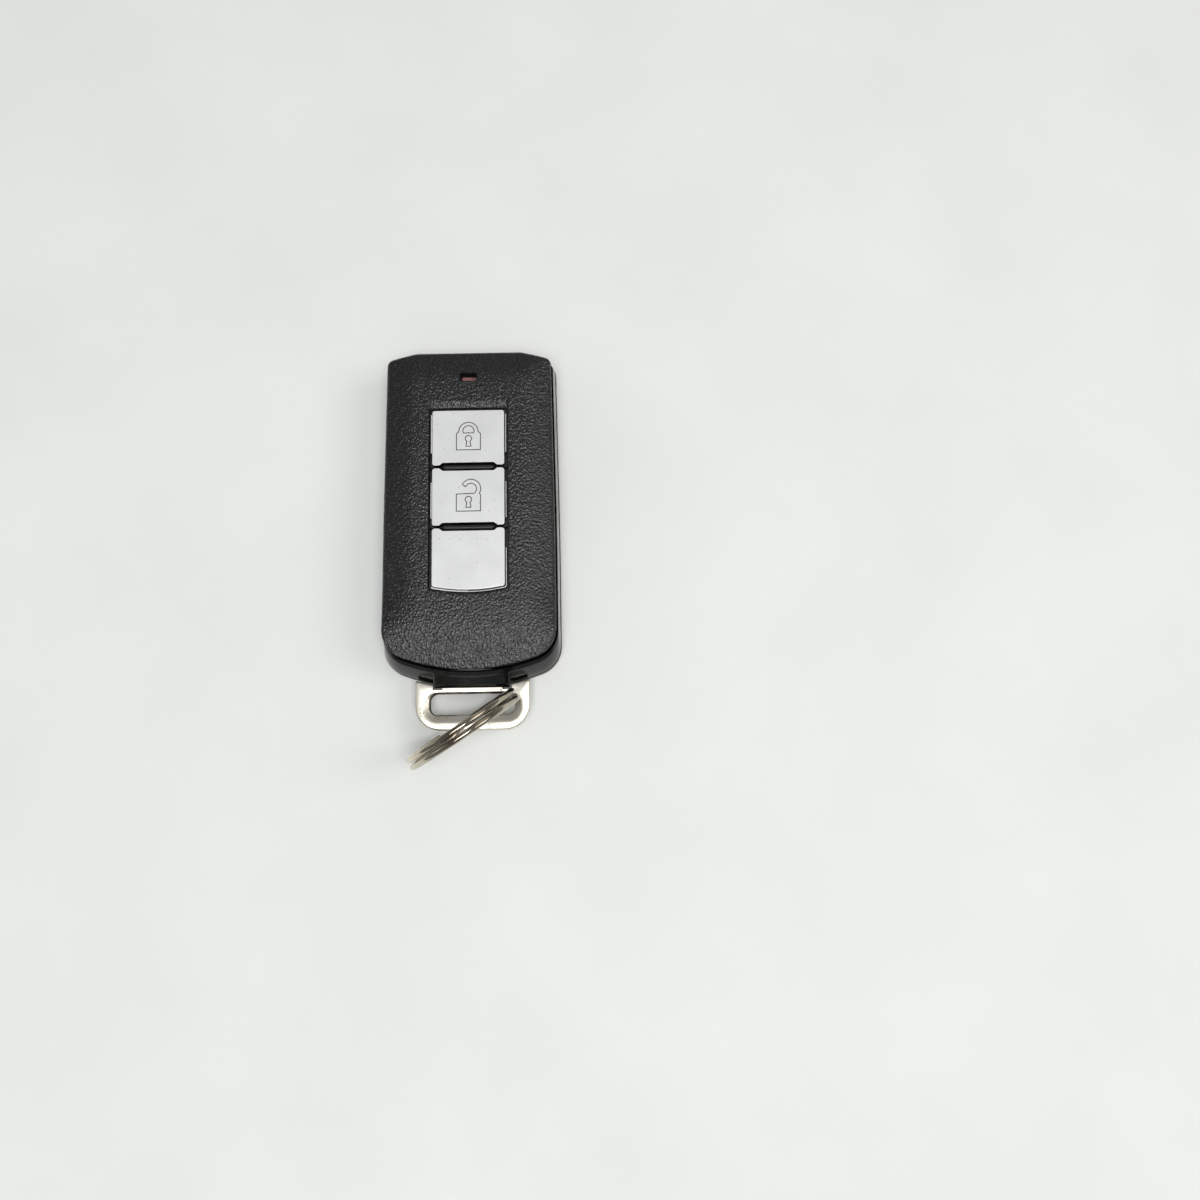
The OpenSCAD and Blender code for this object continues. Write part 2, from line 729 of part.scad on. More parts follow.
// Least room between the wire and its other turn, at points along both
function wire_room(a, b) =
    let (along = 2 * ring_mean_r * sin(abs(b - a - 360) / 2))
    let (beside = max(abs(rise(b) - rise(a)) - wire_t, 0))
    norm([along, beside]);
least_room = min([for (a = [0:room_step:wire_angle], b = [a + 360 - jog_span:room_step:wire_angle])
    wire_room(a, b)]);
echo(least_gap_between_turns_mm = least_room);

module split_ring() color("#cfc6b8") {
    sides = len(wire_section);
    rings = [for (i = [0:ring_steps]) wire_place(wire_angle * i / ring_steps)];
    points = [for (r = rings, s = wire_section) r[0] * (ring_mean_r + s.x) + [0, r[1] + s.y, 0]];
    skin = [for (i = [0:ring_steps - 1], j = [0:sides - 1])
        let (a = i * sides + j, b = i * sides + (j + 1) % sides)
        each [[a, b + sides, b], [a, a + sides, b + sides]]];
    caps = [for (j = [1:sides - 2]) each [[0, j, j + 1],
        [ring_steps * sides, ring_steps * sides + j + 1, ring_steps * sides + j]]];
    translate([ring_x, ring_y, ring_z]) rotate([0, 0, ring_yaw]) rotate([ring_lean, 0, 0])
        polyhedron(points, concat(skin, caps), convexity = 6);
}

front_cover();
side_frame();
rear_cover();
case_seal();
led_lens();
lock_button();
unlock_button();
tailgate_button();
keypad_membrane();
lock_plunger();
unlock_plunger();
tailgate_plunger();
tact_switches();
circuit_board();
status_led();
microcontroller();
radio_chip();
transponder_chip();
crystal();
wake_antenna_core();
wake_antenna_winding();
passives();
coin_cell();
battery_clip();
battery_spring();
key_head();
key_blade();
key_pin();
latch_slider();
latch_spring();
split_ring();
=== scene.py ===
"""Looks of a car key fob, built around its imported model.

Sizes are in millimetres and become metres where a mesh is made. The origin is the middle of the flat
back, +Y runs to the indicator end and +Z points out of the button face.
"""
import json
import logging
import math
from dataclasses import dataclass
from enum import Enum
from typing import Any, Optional, Sequence

import bmesh
import bpy
import numpy as np
from mathutils import Matrix, Vector


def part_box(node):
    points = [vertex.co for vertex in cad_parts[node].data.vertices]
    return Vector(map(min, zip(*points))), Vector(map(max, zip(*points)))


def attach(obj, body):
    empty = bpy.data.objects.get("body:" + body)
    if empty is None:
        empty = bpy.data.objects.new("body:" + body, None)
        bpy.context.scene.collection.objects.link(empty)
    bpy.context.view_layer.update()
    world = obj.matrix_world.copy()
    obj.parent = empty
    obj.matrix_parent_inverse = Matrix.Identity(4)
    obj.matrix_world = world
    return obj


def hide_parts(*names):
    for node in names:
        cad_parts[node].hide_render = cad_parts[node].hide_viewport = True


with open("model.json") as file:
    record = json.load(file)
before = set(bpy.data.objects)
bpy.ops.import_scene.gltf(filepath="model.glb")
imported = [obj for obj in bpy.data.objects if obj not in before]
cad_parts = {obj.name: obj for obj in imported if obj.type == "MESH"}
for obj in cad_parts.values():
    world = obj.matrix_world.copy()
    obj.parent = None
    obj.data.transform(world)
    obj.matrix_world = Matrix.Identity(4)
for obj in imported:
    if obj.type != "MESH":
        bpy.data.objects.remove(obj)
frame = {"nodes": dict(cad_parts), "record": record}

LOG = logging.getLogger("key_fob")
MM = 0.001
SMOOTH_ANGLE = math.radians(34)
# How far a cutting tool runs past the face that it cuts, in millimetres
PAST = 1.0

Piece = bpy.types.Object
Material = bpy.types.Material
Node = bpy.types.Node
NodeTree = bpy.types.NodeTree
Loop = np.ndarray
Pair = tuple[float, float]
Triple = tuple[float, float, float]
Corner = Triple


class Body(Enum):
    """The rigid bodies of the fob."""

    CASE = "case"
    LOCK = "lock_key"
    UNLOCK = "unlock_key"
    TAILGATE = "tailgate_key"
    LATCH = "latch"
    KEY = "emergency_key"
    RING = "ring"


class Ends(Enum):
    """How a skin closes at its first and last rows."""

    JOINED = "the last row is tied to the first"
    CAPPED = "a flat face closes each end"


class Change(Enum):
    """What a tool does to a piece, with the name of that boolean operation."""

    CUT = "DIFFERENCE"
    ADD = "UNION"


def linear(code: str) -> tuple[float, float, float, float]:
    """Turns an sRGB hex colour into linear light.

    Args:
        code: colour as "#rrggbb".

    Returns:
        Red, green, blue and an alpha of 1.
    """
    parts = [int(code[i:i + 2], 16) / 255 for i in (1, 3, 5)]
    light = [c / 12.92 if c <= 0.04045 else ((c + 0.055) / 1.055) ** 2.4 for c in parts]
    return light[0], light[1], light[2], 1.0


def live(source: Any) -> bpy.types.NodeSocket:
    """Gives the socket that feeds others.

    Args:
        source: a node or one of its output sockets.

    Returns:
        The socket named, or the first live output of the node.
    """
    if isinstance(source, Node):
        return next(s for s in source.outputs if s.enabled)
    return source


def add_node(tree: NodeTree, kind: str, settings: Optional[dict[Any, Any]] = None,
             links: Optional[dict[Any, Any]] = None) -> Node:
    """Adds a node with its settings and links.

    Args:
        tree: node tree that gets the node.
        kind: type name of the node.
        settings: values by name; a lower-case name is a property, any other name or number a socket.
        links: the node or output socket that feeds each input.

    Returns:
        The new node.
    """
    node = tree.nodes.new(kind)
    for key, value in (settings or {}).items():
        if isinstance(key, str) and key[0].islower():
            setattr(node, key, value)
        else:
            node.inputs[key].default_value = value
    for key, source in (links or {}).items():
        tree.links.new(live(source), node.inputs[key])
    return node


def arc(centre: Pair, radius: float, start: float, end: float, steps: int) -> Loop:
    """Gives points on an arc.

    Args:
        centre: middle of the circle.
        radius: radius of the circle.
        start: first angle in degrees.
        end: last angle in degrees.
        steps: number of spans.

    Returns:
        The points, one row each.
    """
    turn = np.radians(np.linspace(start, end, steps + 1))
    return np.column_stack([centre[0] + radius * np.cos(turn), centre[1] + radius * np.sin(turn)])


def rounded(corners: Sequence[Corner], steps: int = 12) -> tuple[Loop, list[int]]:
    """Rounds the corners of a closed outline.

    Args:
        corners: x, y and radius of each corner.
        steps: spans in each rounded corner.

    Returns:
        The outline's points, and the number of the point in the middle of each corner.
    """
    points: list[np.ndarray] = []
    middles: list[int] = []
    places = [np.array(c[:2], float) for c in corners]
    for i, (at, corner) in enumerate(zip(places, corners)):
        u = places[i - 1] - at
        v = places[(i + 1) % len(places)] - at
        u, v = u / np.linalg.norm(u), v / np.linalg.norm(v)
        half = math.acos(max(-1.0, min(1.0, float(u @ v)))) / 2
        middle = u + v
        centre = at + middle / np.linalg.norm(middle) * corner[2] / math.sin(half)
        first = at + u * corner[2] / math.tan(half) - centre
        last = at + v * corner[2] / math.tan(half) - centre
        sweep = math.atan2(first[0] * last[1] - first[1] * last[0], float(first @ last))
        middles.append(len(points) + steps // 2)
        for k in range(steps + 1):
            c, s = math.cos(sweep * k / steps), math.sin(sweep * k / steps)
            points.append(centre + [first[0] * c - first[1] * s, first[0] * s + first[1] * c])
    return np.array(points), middles


def mirrored(corners: Sequence[Corner]) -> list[Corner]:
    """Gives the corners of the other side, in the order that goes on round the outline."""
    return [(-x, y, r) for x, y, r in reversed(corners)]


def resampled(points: Loop, marks: Sequence[int], counts: Sequence[int], crowd: float = 0.6) -> Loop:
    """Spreads a fixed number of points over each stretch of a closed outline.

    Args:
        points: points of the outline.
        marks: points at which the stretches start.
        counts: number of points on each stretch.
        crowd: how much the points gather at the ends of a stretch, from 0 to 1.

    Returns:
        The new points, starting at the first mark.
    """
    rolled = np.vstack([np.roll(points, -marks[0], axis=0), points[marks[0]]])
    run = np.concatenate([[0.0], np.cumsum(np.linalg.norm(np.diff(rolled, axis=0), axis=1))])
    stops = [(m - marks[0]) % len(points) for m in marks] + [len(points)]
    found = []
    for first, last, count in zip(stops, stops[1:], counts):
        t = np.arange(count) / count
        t = (1 - crowd) * t + crowd * (1 - np.cos(np.pi * t)) / 2
        found.append(run[first] + (run[last] - run[first]) * t)
    at = np.concatenate(found)
    return np.column_stack([np.interp(at, run, rolled[:, 0]), np.interp(at, run, rolled[:, 1])])


def row(points: Loop, z: Any) -> np.ndarray:
    """Sets an outline at a height, or at one height for each point."""
    return np.column_stack([points, np.broadcast_to(np.asarray(z, float), (len(points),))])


def smooth(values: np.ndarray, low: float, high: float) -> np.ndarray:
    """Gives a soft step from 0 at one value to 1 at another."""
    t = np.clip((values - low) / (high - low), 0.0, 1.0)
    return t * t * (3 - 2 * t)


def quarter(steps: int) -> list[Pair]:
    """Gives the points of a rounded edge as shares of its radius.

    Args:
        steps: number of spans.

    Returns:
        How far in and how far down each point is, from the side to the top.
    """
    return [(1 - math.cos(turn), 1 - math.sin(turn)) for turn in np.radians(np.linspace(0, 90, steps + 1))]


def mesh_object(name: str, verts: np.ndarray, faces: Sequence[Sequence[int]]) -> Piece:
    """Makes a mesh object from points in millimetres, with its faces outwards and soft shading.

    Args:
        name: name of the piece.
        verts: points in millimetres.
        faces: point numbers of each face.

    Returns:
        The object, linked to the scene.
    """
    mesh = bpy.data.meshes.new(name)
    mesh.from_pydata((np.asarray(verts, float) * MM).tolist(), [], [list(f) for f in faces])
    piece = bpy.data.objects.new(name, mesh)
    bpy.context.scene.collection.objects.link(piece)
    work = bmesh.new()
    work.from_mesh(mesh)
    bmesh.ops.recalc_face_normals(work, faces=work.faces)
    work.to_mesh(mesh)
    work.free()
    soften(piece)
    return piece


def soften(piece: Piece) -> None:
    """Shades a piece smooth, apart from its sharp edges."""
    piece.data.shade_smooth()
    piece.data.set_sharp_from_angle(angle=SMOOTH_ANGLE)


def skin(name: str, rows: Sequence[np.ndarray], ends: Ends) -> Piece:
    """Makes a closed skin over rows of points.

    Args:
        name: name of the piece.
        rows: closed rows with the same number of points.
        ends: how the skin closes.

    Returns:
        The object.
    """
    count = len(rows[0])
    faces: list[Sequence[int]] = []
    pairs = len(rows) if ends is Ends.JOINED else len(rows) - 1
    for i in range(pairs):
        a, b = i * count, (i + 1) % len(rows) * count
        for j in range(count):
            k = (j + 1) % count
            faces.append((a + j, a + k, b + k, b + j))
    if ends is Ends.CAPPED:
        faces.append(range(count))
        faces.append(range((len(rows) - 1) * count, len(rows) * count))
    return mesh_object(name, np.vstack(rows), faces)


def rounded_box(name: str, low: Sequence[float], high: Sequence[float], radius: float) -> Piece:
    """Makes a block with rounded edges.

    Args:
        name: name of the piece.
        low: lowest corner in millimetres.
        high: highest corner in millimetres.
        radius: radius of the edges in millimetres.

    Returns:
        The object.
    """
    mesh = bpy.data.meshes.new(name)
    work = bmesh.new()
    bmesh.ops.create_cube(work, size=1.0)
    size = Vector(high) - Vector(low)
    bmesh.ops.scale(work, vec=size * MM, verts=work.verts)
    bmesh.ops.translate(work, vec=(Vector(high) + Vector(low)) / 2 * MM, verts=work.verts)
    bmesh.ops.bevel(work, geom=work.edges, offset=radius * MM, segments=4, profile=0.5, affect="EDGES")
    work.to_mesh(mesh)
    work.free()
    piece = bpy.data.objects.new(name, mesh)
    bpy.context.scene.collection.objects.link(piece)
    soften(piece)
    return piece


def settled(piece: Piece) -> Piece:
    """Turns a piece with modifiers into a plain mesh and drops the modifiers.

    Args:
        piece: the piece.

    Returns:
        The same piece.
    """
    bpy.context.view_layer.update()
    graph = bpy.context.evaluated_depsgraph_get()
    mesh = bpy.data.meshes.new_from_object(piece.evaluated_get(graph))
    piece.modifiers.clear()
    piece.data = mesh
    return piece


def combined(piece: Piece, tool: Piece, change: Change) -> Piece:
    """Cuts a tool from a piece, or adds it, and removes the tool.

    Args:
        piece: the piece that changes.
        tool: the other shape.
        change: whether the tool is cut away or added.

    Returns:
        The piece.
    """
    step = piece.modifiers.new("shape", "BOOLEAN")
    step.operation = change.value
    step.solver = "EXACT"
    step.object = tool
    settled(piece)
    bpy.data.objects.remove(tool)
    soften(piece)
    return piece


def joined(piece: Piece, others: Sequence[Piece]) -> Piece:
    """Adds the meshes of other objects to a piece and removes those objects.

    Args:
        piece: the piece that grows.
        others: the objects that it takes up.

    Returns:
        The piece.
    """
    work = bmesh.new()
    for source in (piece, *others):
        work.from_mesh(source.data)
    work.to_mesh(piece.data)
    work.free()
    for source in others:
        bpy.data.objects.remove(source)
    soften(piece)
    return piece


def node_group(name: str, inputs: Sequence[tuple[str, str]]) -> tuple[NodeTree, dict[str, str]]:
    """Starts a geometry node tree with named inputs.

    Args:
        name: name of the tree.
        inputs: name and kind of each input.

    Returns:
        The tree, and the identifier of each input by its name.
    """
    tree = bpy.data.node_groups.new(name, "GeometryNodeTree")
    tree.interface.new_socket("Geometry", in_out="OUTPUT", socket_type="NodeSocketGeometry")
    names = {}
    for label, kind in inputs:
        made = tree.interface.new_socket(label, in_out="INPUT", socket_type="NodeSocket" + kind)
        names[label] = made.identifier
    return tree, names


def grown(name: str, tree: NodeTree, names: dict[str, str], values: dict[str, Any]) -> Piece:
    """Makes a plain mesh from a geometry node tree.

    Args:
        name: name of the piece.
        tree: the node tree.
        names: the identifier of each input by its name.
        values: value of each input by its name.

    Returns:
        The piece.
    """
    piece = bpy.data.objects.new(name, bpy.data.meshes.new(name))
    bpy.context.scene.collection.objects.link(piece)
    change = piece.modifiers.new(name, "NODES")
    change.node_group = tree
    for label, value in values.items():
        change[names[label]] = value
    return settled(piece)


class Recipe:
    """A material under way: its node tree, its shader and Object coordinates in millimetres."""

    def __init__(self, name: str, shader: dict[str, Any]) -> None:
        """Starts a material.

        Args:
            name: name of the real material.
            shader: values that are the same all over the surface, by socket.
        """
        self.material = bpy.data.materials.new(name)
        self.material.use_nodes = True
        self.tree = self.material.node_tree
        self.tree.nodes.clear()
        self.shader = add_node(self.tree, "ShaderNodeBsdfPrincipled", shader)
        add_node(self.tree, "ShaderNodeOutputMaterial", links={"Surface": self.shader})
        self.coords = add_node(self.tree, "ShaderNodeTexCoord")
        self.place = add_node(self.tree, "ShaderNodeMapping", {"Scale": (1 / MM, 1 / MM, 1 / MM)},
                              {"Vector": self.coords.outputs["Object"]})

    def clouded(self, size: float, low: str, high: str, span: Pair = (0.35, 0.65),
                detail: float = 3.0) -> tuple[Node, Node, Node]:
        """Mixes two colours by a soft cloud.

        Args:
            size: size of the clouds in millimetres.
            low: first colour.
            high: second colour.
            span: values of the cloud between which the colours mix.
            detail: detail of the cloud.

        Returns:
            The cloud, the share of the second colour and the colour.
        """
        cloud = add_node(self.tree, "ShaderNodeTexNoise", {"Scale": 1 / size, "Detail": detail},
                         {"Vector": self.place})
        share = add_node(self.tree, "ShaderNodeMapRange", {"From Min": span[0], "From Max": span[1]},
                         {"Value": cloud})
        tone = add_node(self.tree, "ShaderNodeMix",
                        {"data_type": "RGBA", 6: linear(low), 7: linear(high)}, {0: share})
        return cloud, share, tone

    def textured(self, source: Node, rough: Pair, deep: float, strength: float = 1.0) -> tuple[Node, Node]:
        """Makes a fine pattern uneven in shine and in height.

        Args:
            source: the pattern.
            rough: least and most roughness.
            deep: height of the relief in millimetres.
            strength: strength of the relief.

        Returns:
            The roughness and the relief.
        """
        gloss = add_node(self.tree, "ShaderNodeMapRange",
                         {"From Min": 0.3, "From Max": 0.7, "To Min": rough[0], "To Max": rough[1]},
                         {"Value": source})
        relief = add_node(self.tree, "ShaderNodeBump", {"Strength": strength, "Distance": deep * MM},
                          {"Height": source})
        return gloss, relief

    def feed(self, **sources: Any) -> Material:
        """Links nodes to the shader.

        Args:
            sources: the node for each socket, with _ for a space in its name.

        Returns:
            The material.
        """
        for name, source in sources.items():
            self.tree.links.new(live(source), self.shader.inputs[name.replace("_", " ")])
        return self.material


@dataclass(frozen=True)
class GrainedShell:
    """Moulded ABS with a leather-like grain: shiny pebbles between dull valleys, which sparkle in the light;
    the valleys are also painted darker, as the shade in the grain.
    """

    name: str = "grained_black_abs"
    dark: str = "#080809"
    pale: str = "#1a1a1b"
    pebble: float = 0.48
    pebble_soft: float = 0.35
    pebble_span: Pair = (0.1, 0.75)
    pull: float = 0.5
    pore: float = 0.16
    pore_share: float = 0.45
    rise_span: Pair = (0.3, 1.2)
    deep: float = 0.085
    rough: Pair = (0.42, 0.16)

    def material(self) -> Material:
        """Makes the material.

        Returns:
            The material.
        """
        mix = Recipe(self.name, {"IOR": 1.53})
        warp = add_node(mix.tree, "ShaderNodeTexNoise", {"Scale": 1.0, "Detail": 2.0}, {"Vector": mix.place})
        pulled = add_node(mix.tree, "ShaderNodeVectorMath",
                          {"operation": "MULTIPLY_ADD", 1: (self.pull, self.pull, self.pull)},
                          {0: warp.outputs["Color"], 2: mix.place})
        cells = add_node(mix.tree, "ShaderNodeTexVoronoi",
                         {"feature": "SMOOTH_F1", "Scale": 1 / self.pebble, "Smoothness": self.pebble_soft},
                         {"Vector": pulled})
        hill = add_node(mix.tree, "ShaderNodeMapRange",
                        {"From Min": self.pebble_span[0], "From Max": self.pebble_span[1], "To Min": 1.0,
                         "To Max": 0.0}, {"Value": cells})
        pores = add_node(mix.tree, "ShaderNodeTexNoise", {"Scale": 1 / self.pore, "Detail": 2.0},
                         {"Vector": mix.place})
        height = add_node(mix.tree, "ShaderNodeMath", {"operation": "MULTIPLY_ADD", 1: self.pore_share},
                          {0: pores, 2: hill})
        rise = add_node(mix.tree, "ShaderNodeMapRange",
                        {"From Min": self.rise_span[0], "From Max": self.rise_span[1]}, {"Value": height})
        # Painted shade: the grain's valleys take the darker colour, the pebble tops the paler one
        tone = add_node(mix.tree, "ShaderNodeMix",
                        {"data_type": "RGBA", 6: linear(self.dark), 7: linear(self.pale)}, {0: rise})
        gloss = add_node(mix.tree, "ShaderNodeMapRange", {"To Min": self.rough[0], "To Max": self.rough[1]},
                         {"Value": rise})
        relief = add_node(mix.tree, "ShaderNodeBump", {"Distance": self.deep * MM}, {"Height": height})
        return mix.feed(Base_Color=tone, Roughness=gloss, Normal=relief)


@dataclass(frozen=True)
class GlossBand:
    """Polished black ABS: a deep gloss that mirrors the floor, with hairline scratches and finger haze."""

    name: str = "gloss_black_abs"
    colour: str = "#070708"
    haze: str = "#121213"
    smear: float = 5.0
    smear_span: Pair = (0.4, 0.75)
    rough: Pair = (0.16, 0.3)
    scratch: Triple = (0.15, 4.0, 2.0)
    scratch_deep: float = 0.004

    def material(self) -> Material:
        """Makes the material.

        Returns:
            The material.
        """
        mix = Recipe(self.name, {"IOR": 1.54, "Coat Weight": 0.2, "Coat Roughness": 0.12})
        _, hazy, tone = mix.clouded(self.smear, self.colour, self.haze, self.smear_span, 4.0)
        drawn = add_node(mix.tree, "ShaderNodeMapping", {"Scale": tuple(1 / s for s in self.scratch)},
                         {"Vector": mix.place})
        lines = add_node(mix.tree, "ShaderNodeTexNoise", {"Scale": 1.0, "Detail": 2.0}, {"Vector": drawn})
        gloss = add_node(mix.tree, "ShaderNodeMapRange", {"To Min": self.rough[0], "To Max": self.rough[1]},
                         {"Value": hazy})
        relief = add_node(mix.tree, "ShaderNodeBump", {"Strength": 0.5, "Distance": self.scratch_deep * MM},
                          {"Height": lines})
        return mix.feed(Base_Color=tone, Roughness=gloss, Normal=relief)


@dataclass(frozen=True)
class Moulded:
    """A moulded or cast surface with a fine texture: speckled in tone, a little uneven in shine."""

    name: str
    dark: str
    pale: str
    texture: float = 0.25
    deep: float = 0.01
    rough: Pair = (0.45, 0.6)
    ior: float = 1.5
    patch: float = 18.0

    def material(self) -> Material:
        """Makes the material.

        Returns:
            The material.
        """
        mix = Recipe(self.name, {"IOR": self.ior})
        spark = add_node(mix.tree, "ShaderNodeTexNoise",
                         {"Scale": 1 / self.texture, "Detail": 4.0, "Roughness": 0.65}, {"Vector": mix.place})
        tone = mix.clouded(self.texture * self.patch, self.dark, self.pale)[2]
        gloss, relief = mix.textured(spark, self.rough, self.deep)
        return mix.feed(Base_Color=tone, Roughness=gloss, Normal=relief)


@dataclass(frozen=True)
class SatinPaint:
    """Silver paint on black plastic: a fine flake under a satin skin, dust specks, and near-black sides and
    flange that stand for unpainted plastic and also paint the shade on the key's walls and in the gap.
    """

    name: str = "satin_silver_paint"
    pale: str = "#dfe0e0"
    dull: str = "#d6d7d7"
    cloud: float = 6.0
    speck: str = "#8d8e90"
    speck_span: Pair = (0.03, 0.06)
    dust_gap: float = 2.6
    dust_span: Pair = (0.5, 0.75)
    dust_most: float = 0.8
    bare_and_shade: str = "#0e0e0f"
    side_span: Pair = (0.25, 0.55)
    paint_from: float = 12.85
    paint_fade: float = 0.05
    metal: float = 0.25
    flake: float = 0.06
    flake_deep: float = 0.003
    rough: Pair = (0.34, 0.46)

    def dusty(self, mix: Recipe) -> Node:
        """Gives the colour of the paint with its dust.

        Args:
            mix: the material under way.

        Returns:
            The colour.
        """
        paint = mix.clouded(self.cloud, self.dull, self.pale)[2]
        dust = add_node(mix.tree, "ShaderNodeTexVoronoi",
                        {"voronoi_dimensions": "2D", "Scale": 1 / self.dust_gap}, {"Vector": mix.place})
        near = add_node(mix.tree, "ShaderNodeMapRange",
                        {"From Min": self.speck_span[0], "From Max": self.speck_span[1], "To Min": 1.0,
                         "To Max": 0.0}, {"Value": dust.outputs["Distance"]})
        some = add_node(mix.tree, "ShaderNodeMapRange",
                        {"From Min": self.dust_span[0], "From Max": self.dust_span[1],
                         "To Max": self.dust_most}, {"Value": dust.outputs["Color"]})
        spots = add_node(mix.tree, "ShaderNodeMath", {"operation": "MULTIPLY"}, {0: near, 1: some})
        return add_node(mix.tree, "ShaderNodeMix", {"data_type": "RGBA", 7: linear(self.speck)},
                        {0: spots, 6: paint})

    def material(self) -> Material:
        """Makes the material.

        Returns:
            The material.
        """
        mix = Recipe(self.name, {"IOR": 1.5, "Coat Weight": 0.2, "Coat Roughness": 0.3})
        # Painted shade: faces that do not look up, and everything below the ledge, take the near-black of
        # unpainted plastic, which also paints the shade on the walls and down in the gap
        facing = add_node(mix.tree, "ShaderNodeSeparateXYZ", links={0: mix.coords.outputs["Normal"]})
        sides = add_node(mix.tree, "ShaderNodeMapRange",
                         {"From Min": self.side_span[0], "From Max": self.side_span[1], "To Min": 1.0,
                          "To Max": 0.0}, {"Value": facing.outputs["Z"]})
        level = add_node(mix.tree, "ShaderNodeSeparateXYZ", links={0: mix.place})
        below = add_node(mix.tree, "ShaderNodeMapRange",
                         {"From Min": self.paint_from - self.paint_fade, "From Max": self.paint_from,
                          "To Min": 1.0, "To Max": 0.0}, {"Value": level.outputs["Z"]})
        bare_and_shade = add_node(mix.tree, "ShaderNodeMath", {"operation": "MAXIMUM"}, {0: sides, 1: below})
        tone = add_node(mix.tree, "ShaderNodeMix", {"data_type": "RGBA", 7: linear(self.bare_and_shade)},
                        {0: bare_and_shade, 6: self.dusty(mix)})
        metal = add_node(mix.tree, "ShaderNodeMapRange", {"To Min": self.metal, "To Max": 0.0}, {"Value": bare_and_shade})
        # A real flake is too fine to show, so it is drawn at 0.06 mm
        flake = add_node(mix.tree, "ShaderNodeTexNoise", {"Scale": 1 / self.flake, "Detail": 1.0},
                         {"Vector": mix.place})
        gloss, relief = mix.textured(flake, self.rough, self.flake_deep, 0.6)
        return mix.feed(Base_Color=tone, Metallic=metal, Roughness=gloss, Normal=relief)


@dataclass(frozen=True)
class SlotRimShade:
    """A thin dark line painted along the rim of a round-cornered slot and over its inner wall, as the shade
    there, stronger in places.
    """

    middle: Pair = (0.0, -37.55)
    half: Pair = (8.5, 2.15)
    radius: float = 1.6
    width: float = 0.28
    cloud_span: Pair = (0.4, 0.55)
    least: float = 0.6

    def add(self, mix: Recipe, cloud: Node, wear_and_shade: Node) -> Node:
        """Adds the line to the worn places of a material.

        Args:
            mix: the material under way.
            cloud: soft pattern that makes the line uneven.
            wear_and_shade: share of wear and of painted shade so far.

        Returns:
            The share of wear with the painted shade line.
        """
        flat = add_node(mix.tree, "ShaderNodeVectorMath",
                        {"operation": "MULTIPLY_ADD", 1: (1, 1, 0), 2: (-self.middle[0], -self.middle[1], 0)},
                        {0: mix.place})
        size = add_node(mix.tree, "ShaderNodeVectorMath", {"operation": "ABSOLUTE"}, {0: flat})
        core = (self.half[0] - self.radius, self.half[1] - self.radius, 0)
        past = add_node(mix.tree, "ShaderNodeVectorMath", {"operation": "SUBTRACT", 1: core}, {0: size})
        out = add_node(mix.tree, "ShaderNodeVectorMath", {"operation": "MAXIMUM", 1: (0, 0, 0)}, {0: past})
        far = add_node(mix.tree, "ShaderNodeVectorMath", {"operation": "LENGTH"}, {0: out})
        # Painted shade: a dark line along the slot's rim that also darkens the slot's inner wall
        line = add_node(mix.tree, "ShaderNodeMapRange",
                        {"From Min": self.radius + self.width / 3, "From Max": self.radius + self.width,
                         "To Min": 1.0, "To Max": 0.0}, {"Value": far.outputs["Value"]})
        strong = add_node(mix.tree, "ShaderNodeMapRange",
                          {"From Min": self.cloud_span[0], "From Max": self.cloud_span[1],
                           "To Min": self.least}, {"Value": cloud})
        rim_shade = add_node(mix.tree, "ShaderNodeMath", {"operation": "MULTIPLY"}, {0: line, 1: strong})
        return add_node(mix.tree, "ShaderNodeMath", {"operation": "MAXIMUM"}, {0: wear_and_shade, 1: rim_shade})


@dataclass(frozen=True)
class Plated:
    """Bright metal: a clean shine, brushed along one way, with dark pits where the plating is rubbed through,
    and an optional painted shade line along a slot's rim.
    """

    name: str
    colour: str
    shade: str
    pit: str = "#6f675a"
    brush: Triple = (0.12, 0.12, 0.12)
    rough: Pair = (0.2, 0.34)
    deep: float = 0.004
    patch: float = 4.5
    patch_span: Pair = (0.35, 0.7)
    pit_size: float = 0.24
    pitted: float = 0.66
    pit_edge: float = 0.08
    pit_rough: float = 0.35
    crowd_span: Pair = (0.45, 0.62)
    crowd_more: float = 0.16
    rim: Optional[SlotRimShade] = None

    def material(self) -> Material:
        """Makes the material.

        Returns:
            The material.
        """
        mix = Recipe(self.name, {"Metallic": 1.0})
        drawn = add_node(mix.tree, "ShaderNodeMapping", {"Scale": tuple(1 / s for s in self.brush)},
                         {"Vector": mix.place})
        lines = add_node(mix.tree, "ShaderNodeTexNoise", {"Scale": 1.0, "Detail": 3.0}, {"Vector": drawn})
        cloud, _, metal = mix.clouded(self.patch, self.colour, self.shade, self.patch_span)
        dots = add_node(mix.tree, "ShaderNodeTexNoise",
                        {"Scale": 1 / self.pit_size, "Detail": 2.0, "Roughness": 0.4}, {"Vector": mix.place})
        gate = add_node(mix.tree, "ShaderNodeMapRange",
                        {"From Min": self.crowd_span[0], "From Max": self.crowd_span[1],
                         "To Max": self.crowd_more}, {"Value": cloud})
        crowd = add_node(mix.tree, "ShaderNodeMath", {"operation": "ADD"}, {0: dots, 1: gate})
        wear_and_shade = add_node(mix.tree, "ShaderNodeMapRange",
                        {"From Min": self.pitted, "From Max": self.pitted + self.pit_edge}, {"Value": crowd})
        # An optional rim adds a painted shade line along a slot's edge
        if self.rim:
            wear_and_shade = self.rim.add(mix, cloud, wear_and_shade)
        tone = add_node(mix.tree, "ShaderNodeMix", {"data_type": "RGBA", 7: linear(self.pit)},
                        {0: wear_and_shade, 6: metal})
        satin, relief = mix.textured(lines, self.rough, self.deep)
        gloss = add_node(mix.tree, "ShaderNodeMath", {"operation": "MULTIPLY_ADD", 1: self.pit_rough},
                         {0: wear_and_shade, 2: satin})
        return mix.feed(Base_Color=tone, Roughness=gloss, Normal=relief)


